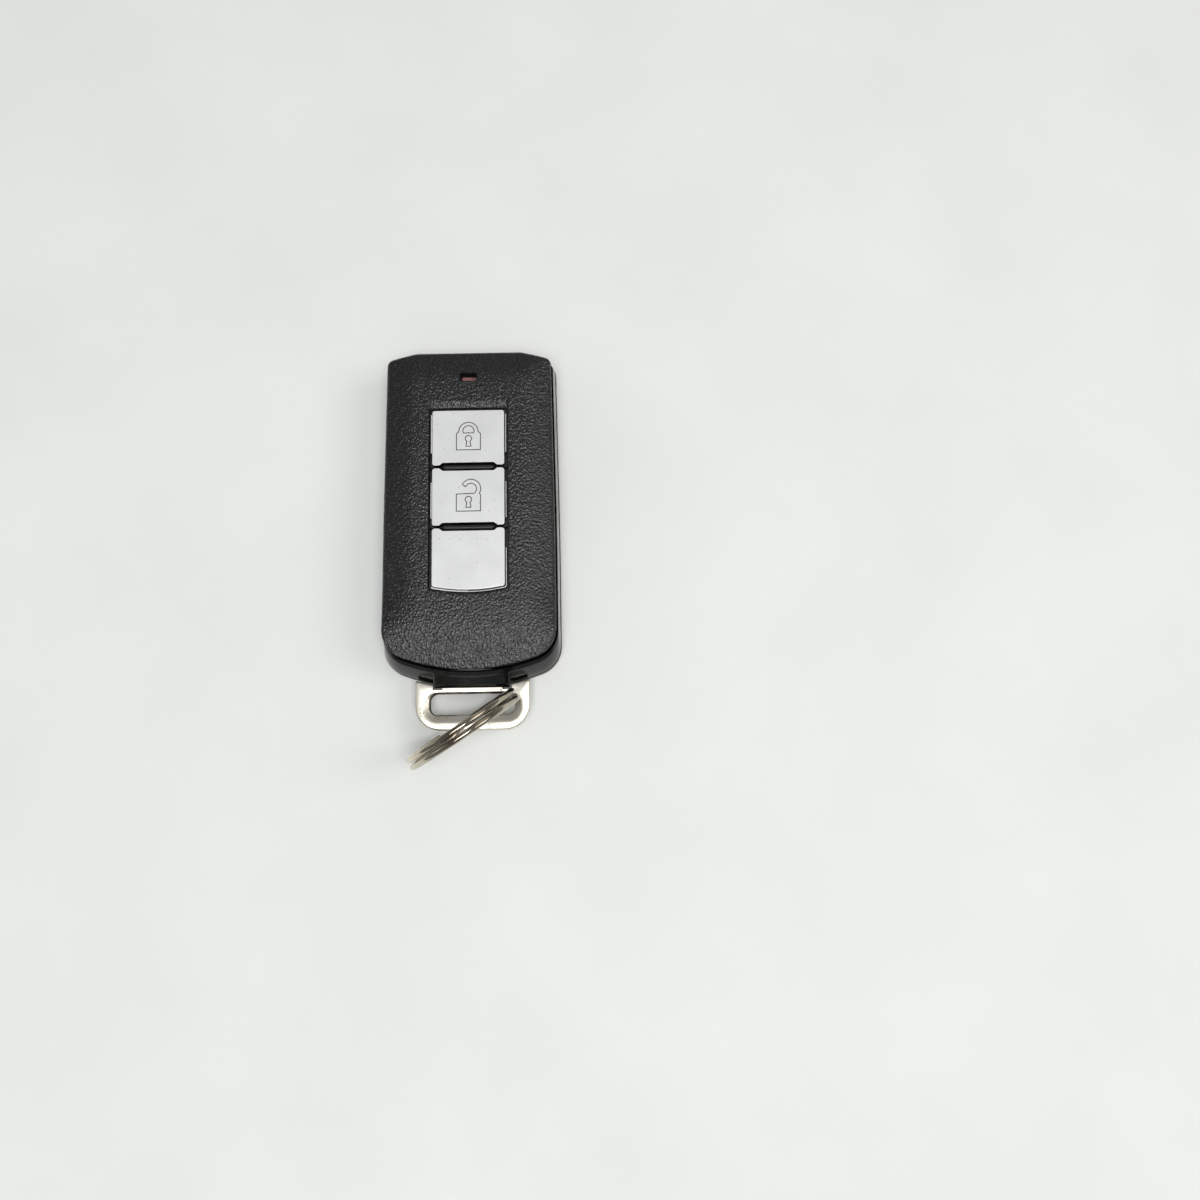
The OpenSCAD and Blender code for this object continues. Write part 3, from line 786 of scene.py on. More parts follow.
@dataclass(frozen=True)
class LightPipe:
    """Dark red polycarbonate: a clear glossy skin over a deep, slightly cloudy red."""

    name: str = "red_polycarbonate"
    deep: str = "#6c4648"
    pale: str = "#9a6c6d"
    cloud: float = 1.1
    cloud_span: Pair = (0.3, 0.7)
    rough: Pair = (0.22, 0.36)
    ripple: float = 0.3
    ripple_deep: float = 0.004

    def material(self) -> Material:
        """Makes the material.

        Returns:
            The material.
        """
        mix = Recipe(self.name, {"IOR": 1.58, "Coat Weight": 0.3, "Coat Roughness": 0.1})
        _, share, tone = mix.clouded(self.cloud, self.deep, self.pale, self.cloud_span)
        gloss = add_node(mix.tree, "ShaderNodeMapRange", {"To Min": self.rough[0], "To Max": self.rough[1]},
                         {"Value": share})
        ripple = add_node(mix.tree, "ShaderNodeTexNoise", {"Scale": 1 / self.ripple}, {"Vector": mix.place})
        relief = add_node(mix.tree, "ShaderNodeBump", {"Distance": self.ripple_deep * MM}, {"Height": ripple})
        return mix.feed(Base_Color=tone, Roughness=gloss, Normal=relief)


class Finishes:
    """Every material of the fob, made once."""

    def __init__(self) -> None:
        """Makes the materials."""
        self.shell = GrainedShell().material()
        self.band = GlossBand().material()
        # Spark-eroded mould: a fine even texture, matt with a dull sheen
        self.back = Moulded("spark_textured_abs", "#121213", "#1a1a1b", 0.22, 0.02, (0.42, 0.58)).material()
        self.paint = SatinPaint().material()
        # Paint sunk in a scribed line: dark and dull, so that the symbol reads as a thin line
        self.ink = Moulded("scribed_line", "#2c2d30", "#38393c", 0.1, 0.002, (0.5, 0.65)).material()
        # Silicone rubber: matt black, a little dusty
        self.rubber = Moulded("silicone_rubber", "#141415", "#202021", 0.3, 0.03, (0.34, 0.5), 1.43).material()
        # Dull near-black liner in the indicator slot: painted shade on the slot's walls
        self.painted_shade_liner = Moulded("painted_shade_black", "#020202", "#050505", 0.2, 0.006, (0.6, 0.75), 1.3).material()
        self.lens = LightPipe().material()
        # Nickel on cast zinc: a pale satin shine, pitted and dirty in places, with painted shade along the
        # slot's rim
        self.loop = Plated("cast_zinc_nickel_plate", "#e6e2d6", "#d8d2c2", rough=(0.28, 0.42),
                           pit="#453c31", pitted=0.745, rim=SlotRimShade()).material()
        # Nickel on drawn wire: a hard mirror shine with a warm cast; its dark brown second tone, mixed in by a
        # large cloud, paints dark reflections along the wire
        self.ring = Plated("nickel_plated_wire", "#e3dbc9", "#594c3d", brush=(0.5, 0.5, 0.5),
                           rough=(0.05, 0.11), pitted=0.8, deep=0.0025, patch=14.0).material()
        # Milled and plated blade: fine lines along its length
        self.blade = Plated("milled_steel", "#cfccc4", "#bdb9af", brush=(0.08, 3.0, 0.08),
                            rough=(0.25, 0.4), pitted=0.8).material()
        # Rolled strip and turned pins: clean steel with a fine line
        self.steel = Plated("rolled_steel", "#b9bbbd", "#a7a9ac", brush=(0.06, 2.0, 0.06),
                            rough=(0.22, 0.36), pitted=0.85).material()
        # Acetal: smooth and slightly waxy
        self.latch = Moulded("acetal", "#1a1a1b", "#242425", 0.2, 0.008, (0.32, 0.45), 1.48).material()
        # Glass-fibre board under a green solder mask: glossy, with the weave faint below
        self.board = Moulded("solder_mask", "#1a4d2e", "#24603a", 0.6, 0.006, (0.25, 0.4), 1.52).material()
        # Transfer-moulded epoxy: dark grey and matt
        self.chip = Moulded("epoxy_package", "#1c1c1e", "#29292b", 0.12, 0.006, (0.5, 0.62)).material()
        # Sintered ferrite: charcoal with a faint crystal glint
        self.ferrite = Moulded("sintered_ferrite", "#303033", "#3f3f43", 0.18, 0.012, (0.45, 0.6),
                               2.2).material()
        # Fired ceramic: sandy and half matt
        self.ceramic = Moulded("fired_ceramic", "#a38c69", "#bba682", 0.15, 0.004, (0.4, 0.55), 1.7).material()
        # Nylon: off-white and slightly waxy
        self.resin = Moulded("nylon_resin", "#d3ccbc", "#e2dccf", 0.2, 0.004, (0.4, 0.55)).material()
        # Enamelled copper: warm metal lines that run round the coil
        self.copper = Plated("enamelled_copper", "#b87646", "#9c5c31", brush=(2.0, 2.0, 0.12),
                             rough=(0.25, 0.4), pitted=0.9, deep=0.03).material()
        # Tinned brass strip: soft pale yellow metal
        self.brass = Plated("tinned_brass", "#cdbd91", "#b9a676", brush=(0.1, 1.5, 0.1),
                            rough=(0.25, 0.4), pitted=0.86).material()
        # Pressed steel can of the cell: satin nickel
        self.can = Plated("pressed_steel_can", "#c8c9c7", "#b6b7b5", brush=(0.15, 0.15, 0.15),
                          rough=(0.24, 0.36), pitted=0.86).material()


def finish_piece(piece: Piece, material: Material, body: Body, nodes: Sequence[str] = ()) -> None:
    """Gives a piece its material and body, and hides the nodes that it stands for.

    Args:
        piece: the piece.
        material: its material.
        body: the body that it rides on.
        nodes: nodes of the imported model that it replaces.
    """
    piece.data.materials.clear()
    piece.data.materials.append(material)
    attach(piece, body.value)
    if nodes:
        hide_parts(*nodes)
    LOG.info("%s rides on %s: %d faces", piece.name, body.value, len(piece.data.polygons))


def box_mm(node: str) -> tuple[np.ndarray, np.ndarray]:
    """Gives the lowest and highest corner of a node in millimetres."""
    low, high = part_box(node)
    return np.array(low) / MM, np.array(high) / MM


@dataclass
class CaseOutline:
    """Outline of the case, seen from the front, and the heights of its layers."""

    cover_step: float = 0.75
    top_step: float = 0.6
    draft: float = 0.3
    shoulder: float = 2.8
    taper: float = 0.5
    brow_w: float = 21.2
    brow_drop: float = 1.5
    brow_r: float = 3.0
    top_corner_r: float = 1.4
    waist_y: float = -4.0
    waist_r: float = 1500.0
    tail_r: float = 38.0
    tail_corner_r: float = 6.0
    tail_reach: float = 12.4
    least_r: float = 0.3
    side_count: int = 150
    end_count: int = 84

    def __post_init__(self) -> None:
        """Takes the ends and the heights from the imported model."""
        low, high = box_mm("side_frame")
        self.half = float(high[0])
        self.top_y = float(high[1])
        self.tail_y = -self.top_y
        self.seam_z = float(low[2])
        self.cover_z = float(high[2])
        self.face_z = float(box_mm("front_cover")[1][2])
        self.cover_half = self.half - self.cover_step
        self.cover_top = self.top_y - self.top_step
        self.cover_tail = self.tail_y + self.shoulder

    @property
    def counts(self) -> list[int]:
        """Number of points on the right side, the tail, the left side and the top end."""
        return [self.side_count, self.end_count, self.side_count, self.end_count]

    def ring(self, half: float, top: float, tail: float, shrink: float) -> Loop:
        """Gives the outline for a half width, a top end and a tail, with its corners shrunk.

        Args:
            half: half of the width.
            top: place of the top end.
            tail: place of the tail.
            shrink: how much smaller the corner radii are.

        Returns:
            The points, from the top right corner down the right side and round.
        """
        slope = math.asin(self.tail_reach / self.tail_r)
        foot = tail + self.tail_r - self.tail_r / math.cos(slope)
        side = [
            (self.brow_w / 2, top, self.brow_r),
            (half - self.taper, top - self.brow_drop, max(self.top_corner_r - shrink, self.least_r)),
            (half, self.waist_y, self.waist_r),
            (half, foot + half * math.tan(slope), max(self.tail_corner_r - shrink, self.least_r))]
        points, middles = rounded([*side, (0.0, foot, self.tail_r - shrink), *mirrored(side)])
        return resampled(points, [middles[1], middles[3], middles[5], middles[7]], self.counts)

    def frame(self, inset: float) -> Loop:
        """Gives the outline of the glossy band, drawn in by an inset."""
        return self.ring(self.half - inset, self.top_y - inset, self.tail_y + inset, inset)

    def cover(self, inset: float) -> Loop:
        """Gives the outline of the front cover, drawn in by an inset."""
        return self.ring(self.cover_half - inset, self.cover_top - inset, self.cover_tail + inset, inset)

    def seam_edge(self, step: float, radius: float, sign: float) -> list[np.ndarray]:
        """Gives the rows of a rounded edge at the seam under the band.

        Args:
            step: how far in the side stands.
            radius: radius of the edge.
            sign: 1 above the seam, -1 below it.

        Returns:
            The rows, from the seam to the side.
        """
        return [row(self.frame(step + radius * inset), self.seam_z + sign * radius * away)
                for away, inset in quarter(3)]


@dataclass
class KeyColumn:
    """Places of the three push keys and of the window that they stand in."""

    width: float = 14.4
    top: float = 20.8
    lengths: Triple = (11.4, 11.7, 12.4)
    gap: float = 0.6
    tail_r: float = 34.0
    tail_reach: float = 6.3
    corner_r: float = 0.5
    window_gap: float = 0.65
    bar_w: float = 10.8
    bar_l: float = 1.05
    bar_gap: float = 0.32
    bar_point: float = 0.6

    @property
    def splits(self) -> Pair:
        """Middles of the two gaps between the keys."""
        first = self.top - self.lengths[0] - self.gap / 2
        return first, first - self.gap - self.lengths[1]

    @property
    def tail(self) -> float:
        """Lowest point of the tailgate key."""
        return self.splits[1] - self.gap / 2 - self.lengths[2]

    def tail_corners(self, grow: float) -> list[Corner]:
        """Gives corners of the curved tail edge.

        Args:
            grow: how far the edge is grown.

        Returns:
            The right corner and the middle one.
        """
        slope = math.asin(self.tail_reach / self.tail_r)
        foot = self.tail - grow + self.tail_r - self.tail_r / math.cos(slope)
        half = self.width / 2 + grow
        return [(half, foot + half * math.tan(slope), self.corner_r), (0.0, foot, self.tail_r)]

    def window(self, grow: float, lift: float, counts: Sequence[int]) -> Loop:
        """Gives the outline of the window in the cover.

        Args:
            grow: how far it stands out from the keys.
            lift: how far its top edge is moved up.
            counts: number of points on each of its four sides.

        Returns:
            The points, from the top right corner down the right side and round.
        """
        low, foot = self.tail_corners(grow)
        high = (self.width / 2 + grow, self.top + grow + lift, self.corner_r)
        points, middles = rounded([high, low, foot, (-low[0], low[1], low[2]), (-high[0], high[1], high[2])])
        return resampled(points, [middles[0], middles[1], middles[3], middles[4]], counts)


@dataclass
class FrontCover:
    """Grained shell with its soft face, the key window, the finger ramp and the indicator slot."""

    outline: CaseOutline
    keys: KeyColumn
    wall: float = 1.4
    plateau_half: float = 10.8
    side_slope: float = 1.5 / 5.4
    side_blend: float = 0.4
    top_start: float = 27.3
    top_slope: float = 1.2 / 5.6
    top_blend: float = 0.5
    tail_fall: float = 2.2
    tail_power: float = 1.75
    side_fade: Pair = (-14.0, -29.0)
    side_left: float = 0.3
    crease: float = 0.3
    edge_r: float = 0.7
    tail_edge_r: float = 0.12
    tail_edge_y: Pair = (-30.0, -22.0)
    joint_chamfer: float = 0.14
    rim_r: float = 0.22
    ramp_l: float = 1.4
    ramp_deep: float = 0.42
    ramp_bend: float = 0.35
    slot: Triple = (3.5, 1.8, 0.5)
    slot_down: float = 6.2
    slot_flare: float = 0.14
    shade_in: float = 0.3
    shade_t: float = 0.12
    shade_down: float = 0.3
    shade_room: float = 0.02
    collar: float = 0.8
    wall_shares: tuple[float, ...] = (0.0, 0.3, 0.65, 0.9)
    ramp_shares: tuple[float, ...] = (0.15, 0.3, 0.45, 0.7, 1.0)
    lining_shares: tuple[float, ...] = (0.35, 0.7, 1.0)
    edge_rows: int = 8
    rim_rows: int = 3
    face_rows: int = 30

    def height(self, points: Loop) -> np.ndarray:
        """Gives the height of the face.

        Args:
            points: places on the cover.

        Returns:
            The height over each point.
        """
        x, y = np.abs(points[:, 0]), points[:, 1]
        start = self.keys.tail - self.keys.window_gap
        run = start - self.outline.cover_tail
        fade = 1 - (1 - self.side_left) * smooth(y, *self.side_fade)
        falls = [self.side_slope * fade * self.soft(x - self.plateau_half, self.side_blend),
                 self.top_slope * self.soft(y - self.top_start, self.top_blend),
                 self.tail_fall * (np.clip(start - y, 0, None) / run) ** self.tail_power]
        worst = self.crease * (np.logaddexp.reduce(np.array(falls) / self.crease) - math.log(len(falls)))
        return self.outline.face_z - worst

    @staticmethod
    def soft(run: np.ndarray, blend: float) -> np.ndarray:
        """Gives a run that starts at 0 with a soft bend."""
        return blend * np.logaddexp(0.0, run / blend)

    def ramp_edge(self, points: Loop) -> np.ndarray:
        """Finds the upper edge of the ramp, which has no rim.

        Args:
            points: points of the window's outline.

        Returns:
            1 along that edge and 0 along the others, for each point.
        """
        half = self.keys.width / 2 + self.keys.window_gap
        high = self.keys.top + self.keys.window_gap + self.ramp_l
        inside = smooth(-np.abs(points[:, 0]), -half, self.keys.corner_r - half)
        return (points[:, 1] > high - self.rim_r) * inside

    def ramp_fall(self, share: float) -> float:
        """Gives the fall of the ramp, which starts softly.

        Args:
            share: share of the ramp's run.

        Returns:
            The share of its depth.
        """
        bend = self.ramp_bend
        run = share * share / (2 * bend) if share < bend else share - bend / 2
        return run / (1 - bend / 2)

    def slot_tool(self, levels: Sequence[Pair]) -> Piece:
        """Makes the shape of the indicator slot.

        Args:
            levels: each height with how far the slot is grown there.

        Returns:
            The shape.
        """
        return skin("slot_tool", [self.slot_row(z, out) for z, out in levels], Ends.CAPPED)

    def slot_row(self, z: float, out: float) -> np.ndarray:
        """Gives the outline of the slot at a height.

        Args:
            z: the height.
            out: how far it is grown.

        Returns:
            The row of points.
        """
        w, l, r = self.slot
        y = self.outline.top_y - self.slot_down
        side = [(w / 2 + out, y + l / 2 + out, r + out), (w / 2 + out, y - l / 2 - out, r + out)]
        return row(rounded([*side, *mirrored(side)], 8)[0], z)

    def build(self) -> Piece:
        """Builds the shell.

        Returns:
            The piece.
        """
        shape, counts = self.outline, self.outline.counts
        edge = shape.cover(0.0)
        inward = shape.cover(1.0) - edge
        soft_r = self.tail_edge_r + (self.edge_r - self.tail_edge_r) * smooth(edge[:, 1], *self.tail_edge_y)

        def at(inset: Any) -> Loop:
            """Gives the outline drawn in by an inset for each point."""
            return edge + inward * np.broadcast_to(np.asarray(inset, float), (len(edge),))[:, None]

        foot = shape.cover_z
        rows = [row(at(shape.draft + self.joint_chamfer), foot)]
        brow = self.height(edge) - soft_r
        for share in self.wall_shares:
            rows.append(row(at(shape.draft * (1 - share)),
                            foot + self.joint_chamfer + share * (brow - foot - self.joint_chamfer)))
        for inset, down in quarter(self.edge_rows):
            loop = at(soft_r * inset)
            rows.append(row(loop, self.height(loop) - soft_r * down))
        start = at(soft_r)
        opening = self.keys.window(self.keys.window_gap, self.ramp_l, counts)
        rim = self.keys.window(self.keys.window_gap + self.rim_r, self.ramp_l, counts)
        for share in np.linspace(0, 1, self.face_rows + 1)[1:]:
            loop = start + (rim - start) * share
            rows.append(row(loop, self.height(loop)))
        drop = self.rim_r * (1 - self.ramp_edge(opening))
        for down, left in quarter(self.rim_rows)[1:]:
            loop = rim + (opening - rim) * (1 - left)
            rows.append(row(loop, self.height(loop) - drop * down))
        window = self.keys.window(self.keys.window_gap, 0.0, counts)
        brink = self.height(opening) - drop
        for share in self.ramp_shares:
            loop = opening + (window - opening) * share
            rows.append(row(loop, brink + (shape.face_z - self.ramp_deep - brink) * self.ramp_fall(share)))
        rows.append(row(window, shape.face_z - self.wall))
        inner = at(self.wall)
        for share in self.lining_shares:
            loop = window + (inner - window) * share
            rows.append(row(loop, self.height(loop) - self.wall))
        rows.append(row(inner, foot))
        piece = skin("front_shell", rows, Ends.JOINED)
        lens_z = float(box_mm("led_lens")[1][2])
        top = float(self.height(np.array([[0.0, shape.top_y - self.slot_down]]))[0])
        combined(piece, self.slot_tool([(lens_z, self.collar), (top - self.wall / 2, self.collar)]), Change.ADD)
        levels = [(foot, 0.0), (top - self.slot_flare, 0.0), (top, self.slot_flare),
                  (top + self.wall, self.slot_flare)]
        return combined(piece, self.slot_tool(levels), Change.CUT)

    def build_shade(self) -> Piece:
        """Builds a near-black liner inside the indicator slot, which paints the shade on the slot's walls.

        Returns:
            The piece.
        """
        low = float(box_mm("led_lens")[1][2]) + self.shade_room
        high = float(self.height(np.array([[0.0, self.outline.top_y - self.slot_down]]))[0]) - self.shade_down
        foot, brim, out = self.shade_in, self.shade_t, -self.shade_room
        rows = [self.slot_row(low, out), self.slot_row(high, out), self.slot_row(high, -brim),
                self.slot_row(low + brim, -foot), self.slot_row(low, -foot)]
        return skin("slot_painted_shade_liner", rows, Ends.JOINED)


@dataclass
class MiddleFrame:
    """Glossy band with its shoulder, the deck over the key and the block at the tail."""

    outline: CaseOutline
    wall: float = 1.25
    step: float = 0.12
    groove: Pair = (0.28, 0.6)
    groove_in: float = 0.05
    lean_h: float = 0.3
    lean_bow: float = 0.65
    tail_y: Pair = (-20.0, -29.0)
    bend: Pair = (0.72, 0.86)
    bend_share: float = 0.6
    bend_bow: float = 1.25
    joint_r: float = 0.26
    deck_t: float = 0.9
    tongue_w: float = 15.2
    tongue_drop: float = 0.4
    tongue_r: float = 0.25
    tongue_front: Pair = (0.6, 2.0)
    tongue_back: float = 0.4
    tongue_knee: float = 0.6
    tongue_bend_r: float = 0.3
    tongue_foot_r: float = 0.2
    crisp_r: float = 0.05
    mouth_half: float = 6.35
    mouth_deep: float = 11.0
    mouth_out: float = 3.0
    mouth_r: float = 0.08
    shoulder_rows: int = 16

    def shoulder(self, share: float, tail: np.ndarray) -> tuple[np.ndarray, np.ndarray]:
        """Gives how far in and up the shoulder has come at a share of its run.

        Args:
            share: share of the run, from 0 at the band to 1 at the front cover.
            tail: 0 along the sides, where the band leans evenly, and 1 round the tail, where it bends.

        Returns:
            The shares of the way in and of the height, for each point.
        """
        lean = (1 - self.lean_bow) * share + self.lean_bow * share * share
        across, up = self.bend
        if share < self.bend_share:
            t = share / self.bend_share
            inward, high = across * t ** self.bend_bow, up * t
        else:
            t = (share - self.bend_share) / (1 - self.bend_share)
            inward, high = across + (1 - across) * t, up + (1 - up) * t
        return lean + (inward - lean) * tail, share + (high - share) * tail

    def tongue(self) -> Piece:
        """Makes the block at the tail, with a sloping upper side.

        Returns:
            The shape.
        """
        shape = self.outline
        tail, back = float(box_mm("side_frame")[0][1]), shape.cover_tail + self.tongue_back
        top = shape.cover_z - self.tongue_drop
        flat, drop = self.tongue_front
        half, soft = self.tongue_w / 2, self.tongue_r
        rows = []
        for x, inset in ((-half, soft), (soft - half, 0.0), (half - soft, 0.0), (half, soft)):
            side = [(back, shape.seam_z, self.crisp_r), (back, top - inset, self.crisp_r),
                    (shape.cover_tail, top - inset, self.tongue_bend_r),
                    (tail + flat, top - drop * self.tongue_knee - inset, self.tongue_bend_r),
                    (tail + inset, top - drop, self.tongue_foot_r), (tail + inset, shape.seam_z, self.crisp_r)]
            points = rounded(side, 5)[0]
            rows.append(np.column_stack([np.full(len(points), x), points]))
        return skin("tongue", rows, Ends.CAPPED)

    def mouth(self, low: float, high: float) -> Piece:
        """Makes the opening that the emergency key slides in.

        Args:
            low: its lower side.
            high: its upper side.

        Returns:
            The shape.
        """
        tail = self.outline.tail_y
        return rounded_box("mouth_tool", (-self.mouth_half, tail - self.mouth_out, low),
                           (self.mouth_half, tail + self.mouth_deep, high), self.mouth_r)

    def build(self) -> Piece:
        """Builds the band.

        Returns:
            The piece.
        """
        shape = self.outline
        rows = shape.seam_edge(self.step, self.joint_r, 1.0)
        gap, deep = self.groove
        outer, top = shape.frame(self.step), shape.cover(-gap)
        tail = smooth(outer[:, 1], *self.tail_y)
        knee = shape.seam_z + self.lean_h
        for share in np.linspace(0, 1, self.shoulder_rows + 1):
            inward, high = self.shoulder(float(share), tail)
            rows.append(row(outer + (top - outer) * inward[:, None], knee + (shape.cover_z - knee) * high))
        rows.append(row(shape.cover(shape.draft), shape.cover_z - deep))
        rows.append(row(shape.cover(shape.draft + self.groove_in), shape.cover_z))
        inner = shape.cover(self.wall)
        rows.append(row(inner, shape.cover_z))
        rows.append(row(inner, shape.seam_z))
        piece = skin("gloss_band", rows, Ends.JOINED)
        combined(piece, self.tongue(), Change.ADD)
        board_z = float(box_mm("circuit_board")[0][2])
        combined(piece, self.mouth(shape.seam_z - PAST, board_z - self.deck_t), Change.CUT)
        tip = float(box_mm("key_blade")[1][1])
        deck = inner[inner[:, 1] < tip]
        rows = [row(deck, board_z - self.deck_t), row(deck, board_z)]
        return joined(piece, [skin("deck", rows, Ends.CAPPED)])


@dataclass
class BackCover:
    """Shell under the band, with a soft lower edge, the thumb window and the mouth of the key."""

    outline: CaseOutline
    frame: MiddleFrame
    wall: float = 1.4
    step: float = 0.0
    joint_r: float = 0.16
    edge: float = 2.2
    flat_in: float = 0.6
    knob: Pair = (3.6, 4.4)
    slide_w: float = 5.1
    travel: float = 1.6
    room: float = 0.3
    window_r: float = 0.25
    dish: Pair = (1.2, 0.7)
    dish_bowl: tuple[Pair, ...] = ((0.0, 0.0), (0.7, 0.25), (1.0, 0.6))
    dish_r: float = 0.3
    floor_share: float = 0.3
    key_room: float = 0.15
    edge_rows: int = 10

    def window_tools(self) -> list[Piece]:
        """Makes the thumb window and the soft dish round it.

        Returns:
            The shapes of the dish and of the window.
        """
        low, high = box_mm("latch_slider")
        x0 = low[0] + (self.slide_w - self.knob[0]) / 2
        x1 = x0 + self.knob[0] + self.travel
        y = (low[1] + high[1]) / 2
        half = self.knob[1] / 2
        hole = rounded_box("thumb_window", (x0 - self.room, y - half - self.room, -2 * PAST),
                           (x1 + self.room, y + half + self.room, self.wall + PAST), self.window_r)
        margin, deep = self.dish
        levels = [(deep * share, margin - inward) for share, inward in self.dish_bowl]
        rows = []
        for z, out in [(-PAST, margin), *levels]:
            r = out + self.dish_r
            side = [(x1 + out, y + half + out, r), (x1 + out, y - half - out, r),
                    (x0 - out, y - half - out, r), (x0 - out, y + half + out, r)]
            rows.append(row(rounded(side, 8)[0], z))
        return [skin("dish", rows, Ends.CAPPED), hole]

    def build(self) -> Piece:
        """Builds the shell.

        Returns:
            The piece.
        """
        shape = self.outline
        inner = shape.cover(self.wall)
        rows = [row(inner * self.floor_share, self.wall), row(inner, self.wall), row(inner, shape.seam_z)]
        rows += shape.seam_edge(self.step, self.joint_r, -1.0)
        for inset, rise in quarter(self.edge_rows):
            rows.append(row(shape.frame(self.step + self.edge * inset), self.edge * rise))
        rows.append(row(shape.frame(self.step + self.edge + self.flat_in), 0.0))
        piece = skin("back_shell", rows, Ends.CAPPED)
        key_low = float(box_mm("key_head")[0][2])
        combined(piece, self.frame.mouth(key_low - self.key_room, shape.seam_z + PAST), Change.CUT)
        for tool in self.window_tools():
            combined(piece, tool, Change.CUT)
        return piece


@dataclass
class PushKey:
    """One satin key: a raised top on a stepped body, with its corners cut round the rubber bars."""

    column: KeyColumn
    place: int
    name: str
    node: str
    body: Body
    ledge_left: Pair
    ledge_right: Pair
    ledge_w: float = 0.36
    groove: Pair = (0.11, 0.21)
    groove_deep: float = 0.35
    flange: float = 1.5
    flange_t: float = 0.6
    step_h: float = 0.5
    edge_r: float = 0.12
    lip: float = 0.06
    fade: float = 0.15
    notch_r: Pair = (0.35, 0.3)
    notch_out: float = 0.05
    spacing: float = 0.14
    least_points: int = 4

    def corners(self, grow: float) -> list[Corner]:
        """Gives the corners of the key, grown at its sides.

        Args:
            grow: how far the sides stand out.

        Returns:
            The corners, from the top right down the right side and round.
        """
        col, half = self.column, self.column.width / 2 + grow
        bar = col.bar_w / 2 + col.bar_gap
        deep = col.bar_l / 2 + col.bar_gap
        r, (inner_r, outer_r) = col.corner_r, self.notch_r
        right: list[Corner] = []
        if self.place == 0:
            right.append((half, col.top + grow, r))
        else:
            y = col.splits[self.place - 1]
            right += [(bar - col.bar_point, y - deep, inner_r),
                      (bar + self.notch_out, y - col.gap / 2, outer_r), (half, y - col.gap / 2, r)]
        if self.place == 2:
            low, foot = col.tail_corners(grow)
            return [*right, low, foot, *mirrored([*right, low])]
        y = col.splits[self.place]
        right += [(half, y + col.gap / 2, r), (bar + self.notch_out, y + col.gap / 2, outer_r),
                  (bar - col.bar_point, y + deep, inner_r)]
        return [*right, *mirrored(right)]

    def loop(self, grow: float) -> Loop:
        """Gives the outline of the key with evenly spaced points.

        Args:
            grow: how far the sides stand out.

        Returns:
            The points, as many at each growth.
        """
        points, middles = rounded(self.corners(grow), 6)
        base, marks = rounded(self.corners(0.0), 6)
        run = np.linalg.norm(np.diff(np.vstack([base, base[:1]]), axis=0), axis=1)
        stops = [*marks, marks[0] + len(base)]
        counts = [max(self.least_points, round(sum(run[i % len(base)] for i in range(a, b)) / self.spacing))
                  for a, b in zip(stops, stops[1:])]
        return resampled(points, middles, counts, 0.0)

    def build(self) -> Piece:
        """Builds the key.

        Returns:
            The piece.
        """
        low, high = box_mm(self.node)
        top = self.loop(0.0)
        out = (self.loop(self.ledge_w) - top) / self.ledge_w
        shown = self.shown(top)
        pad_z, rim_z = high[2], low[2] + self.flange_t
        ledge_z = rim_z + (pad_z - self.step_h - rim_z) * shown
        gap = np.where(top[:, 0] < 0, *self.groove)
        floor_z = np.maximum(ledge_z - self.groove_deep, rim_z)
        ledge = top + out * (gap + (self.ledge_w - gap) * shown)[:, None]
        lip = ledge - out * self.lip * shown[:, None]
        ditch = top + out * gap[:, None]
        rim = self.loop(self.flange)
        rows = [row(rim, low[2]), row(rim, rim_z), row(ledge, rim_z), row(ledge, ledge_z - self.lip * shown),
                row(lip, ledge_z), row(ditch, ledge_z), row(ditch, floor_z), row(top, floor_z)]
        for inset, down in quarter(3):
            rows.append(row(top - out * self.edge_r * inset, pad_z - self.edge_r * down))
        rows.append(row(top - out * self.edge_r * 2, pad_z))
        return skin(self.name, rows, Ends.CAPPED)

    def shown(self, points: Loop) -> np.ndarray:
        """Finds where the ledge stands out from the key's side.

        Args:
            points: points of the key's outline.

        Returns:
            1 where it stands out and 0 where it does not, for each point.
        """
        y = points[:, 1]
        left, right = (smooth(y, low, low + self.fade) * smooth(-y, -high, self.fade - high)
                       for low, high in (self.ledge_left, self.ledge_right))
        return np.where(points[:, 0] < 0, left, right)


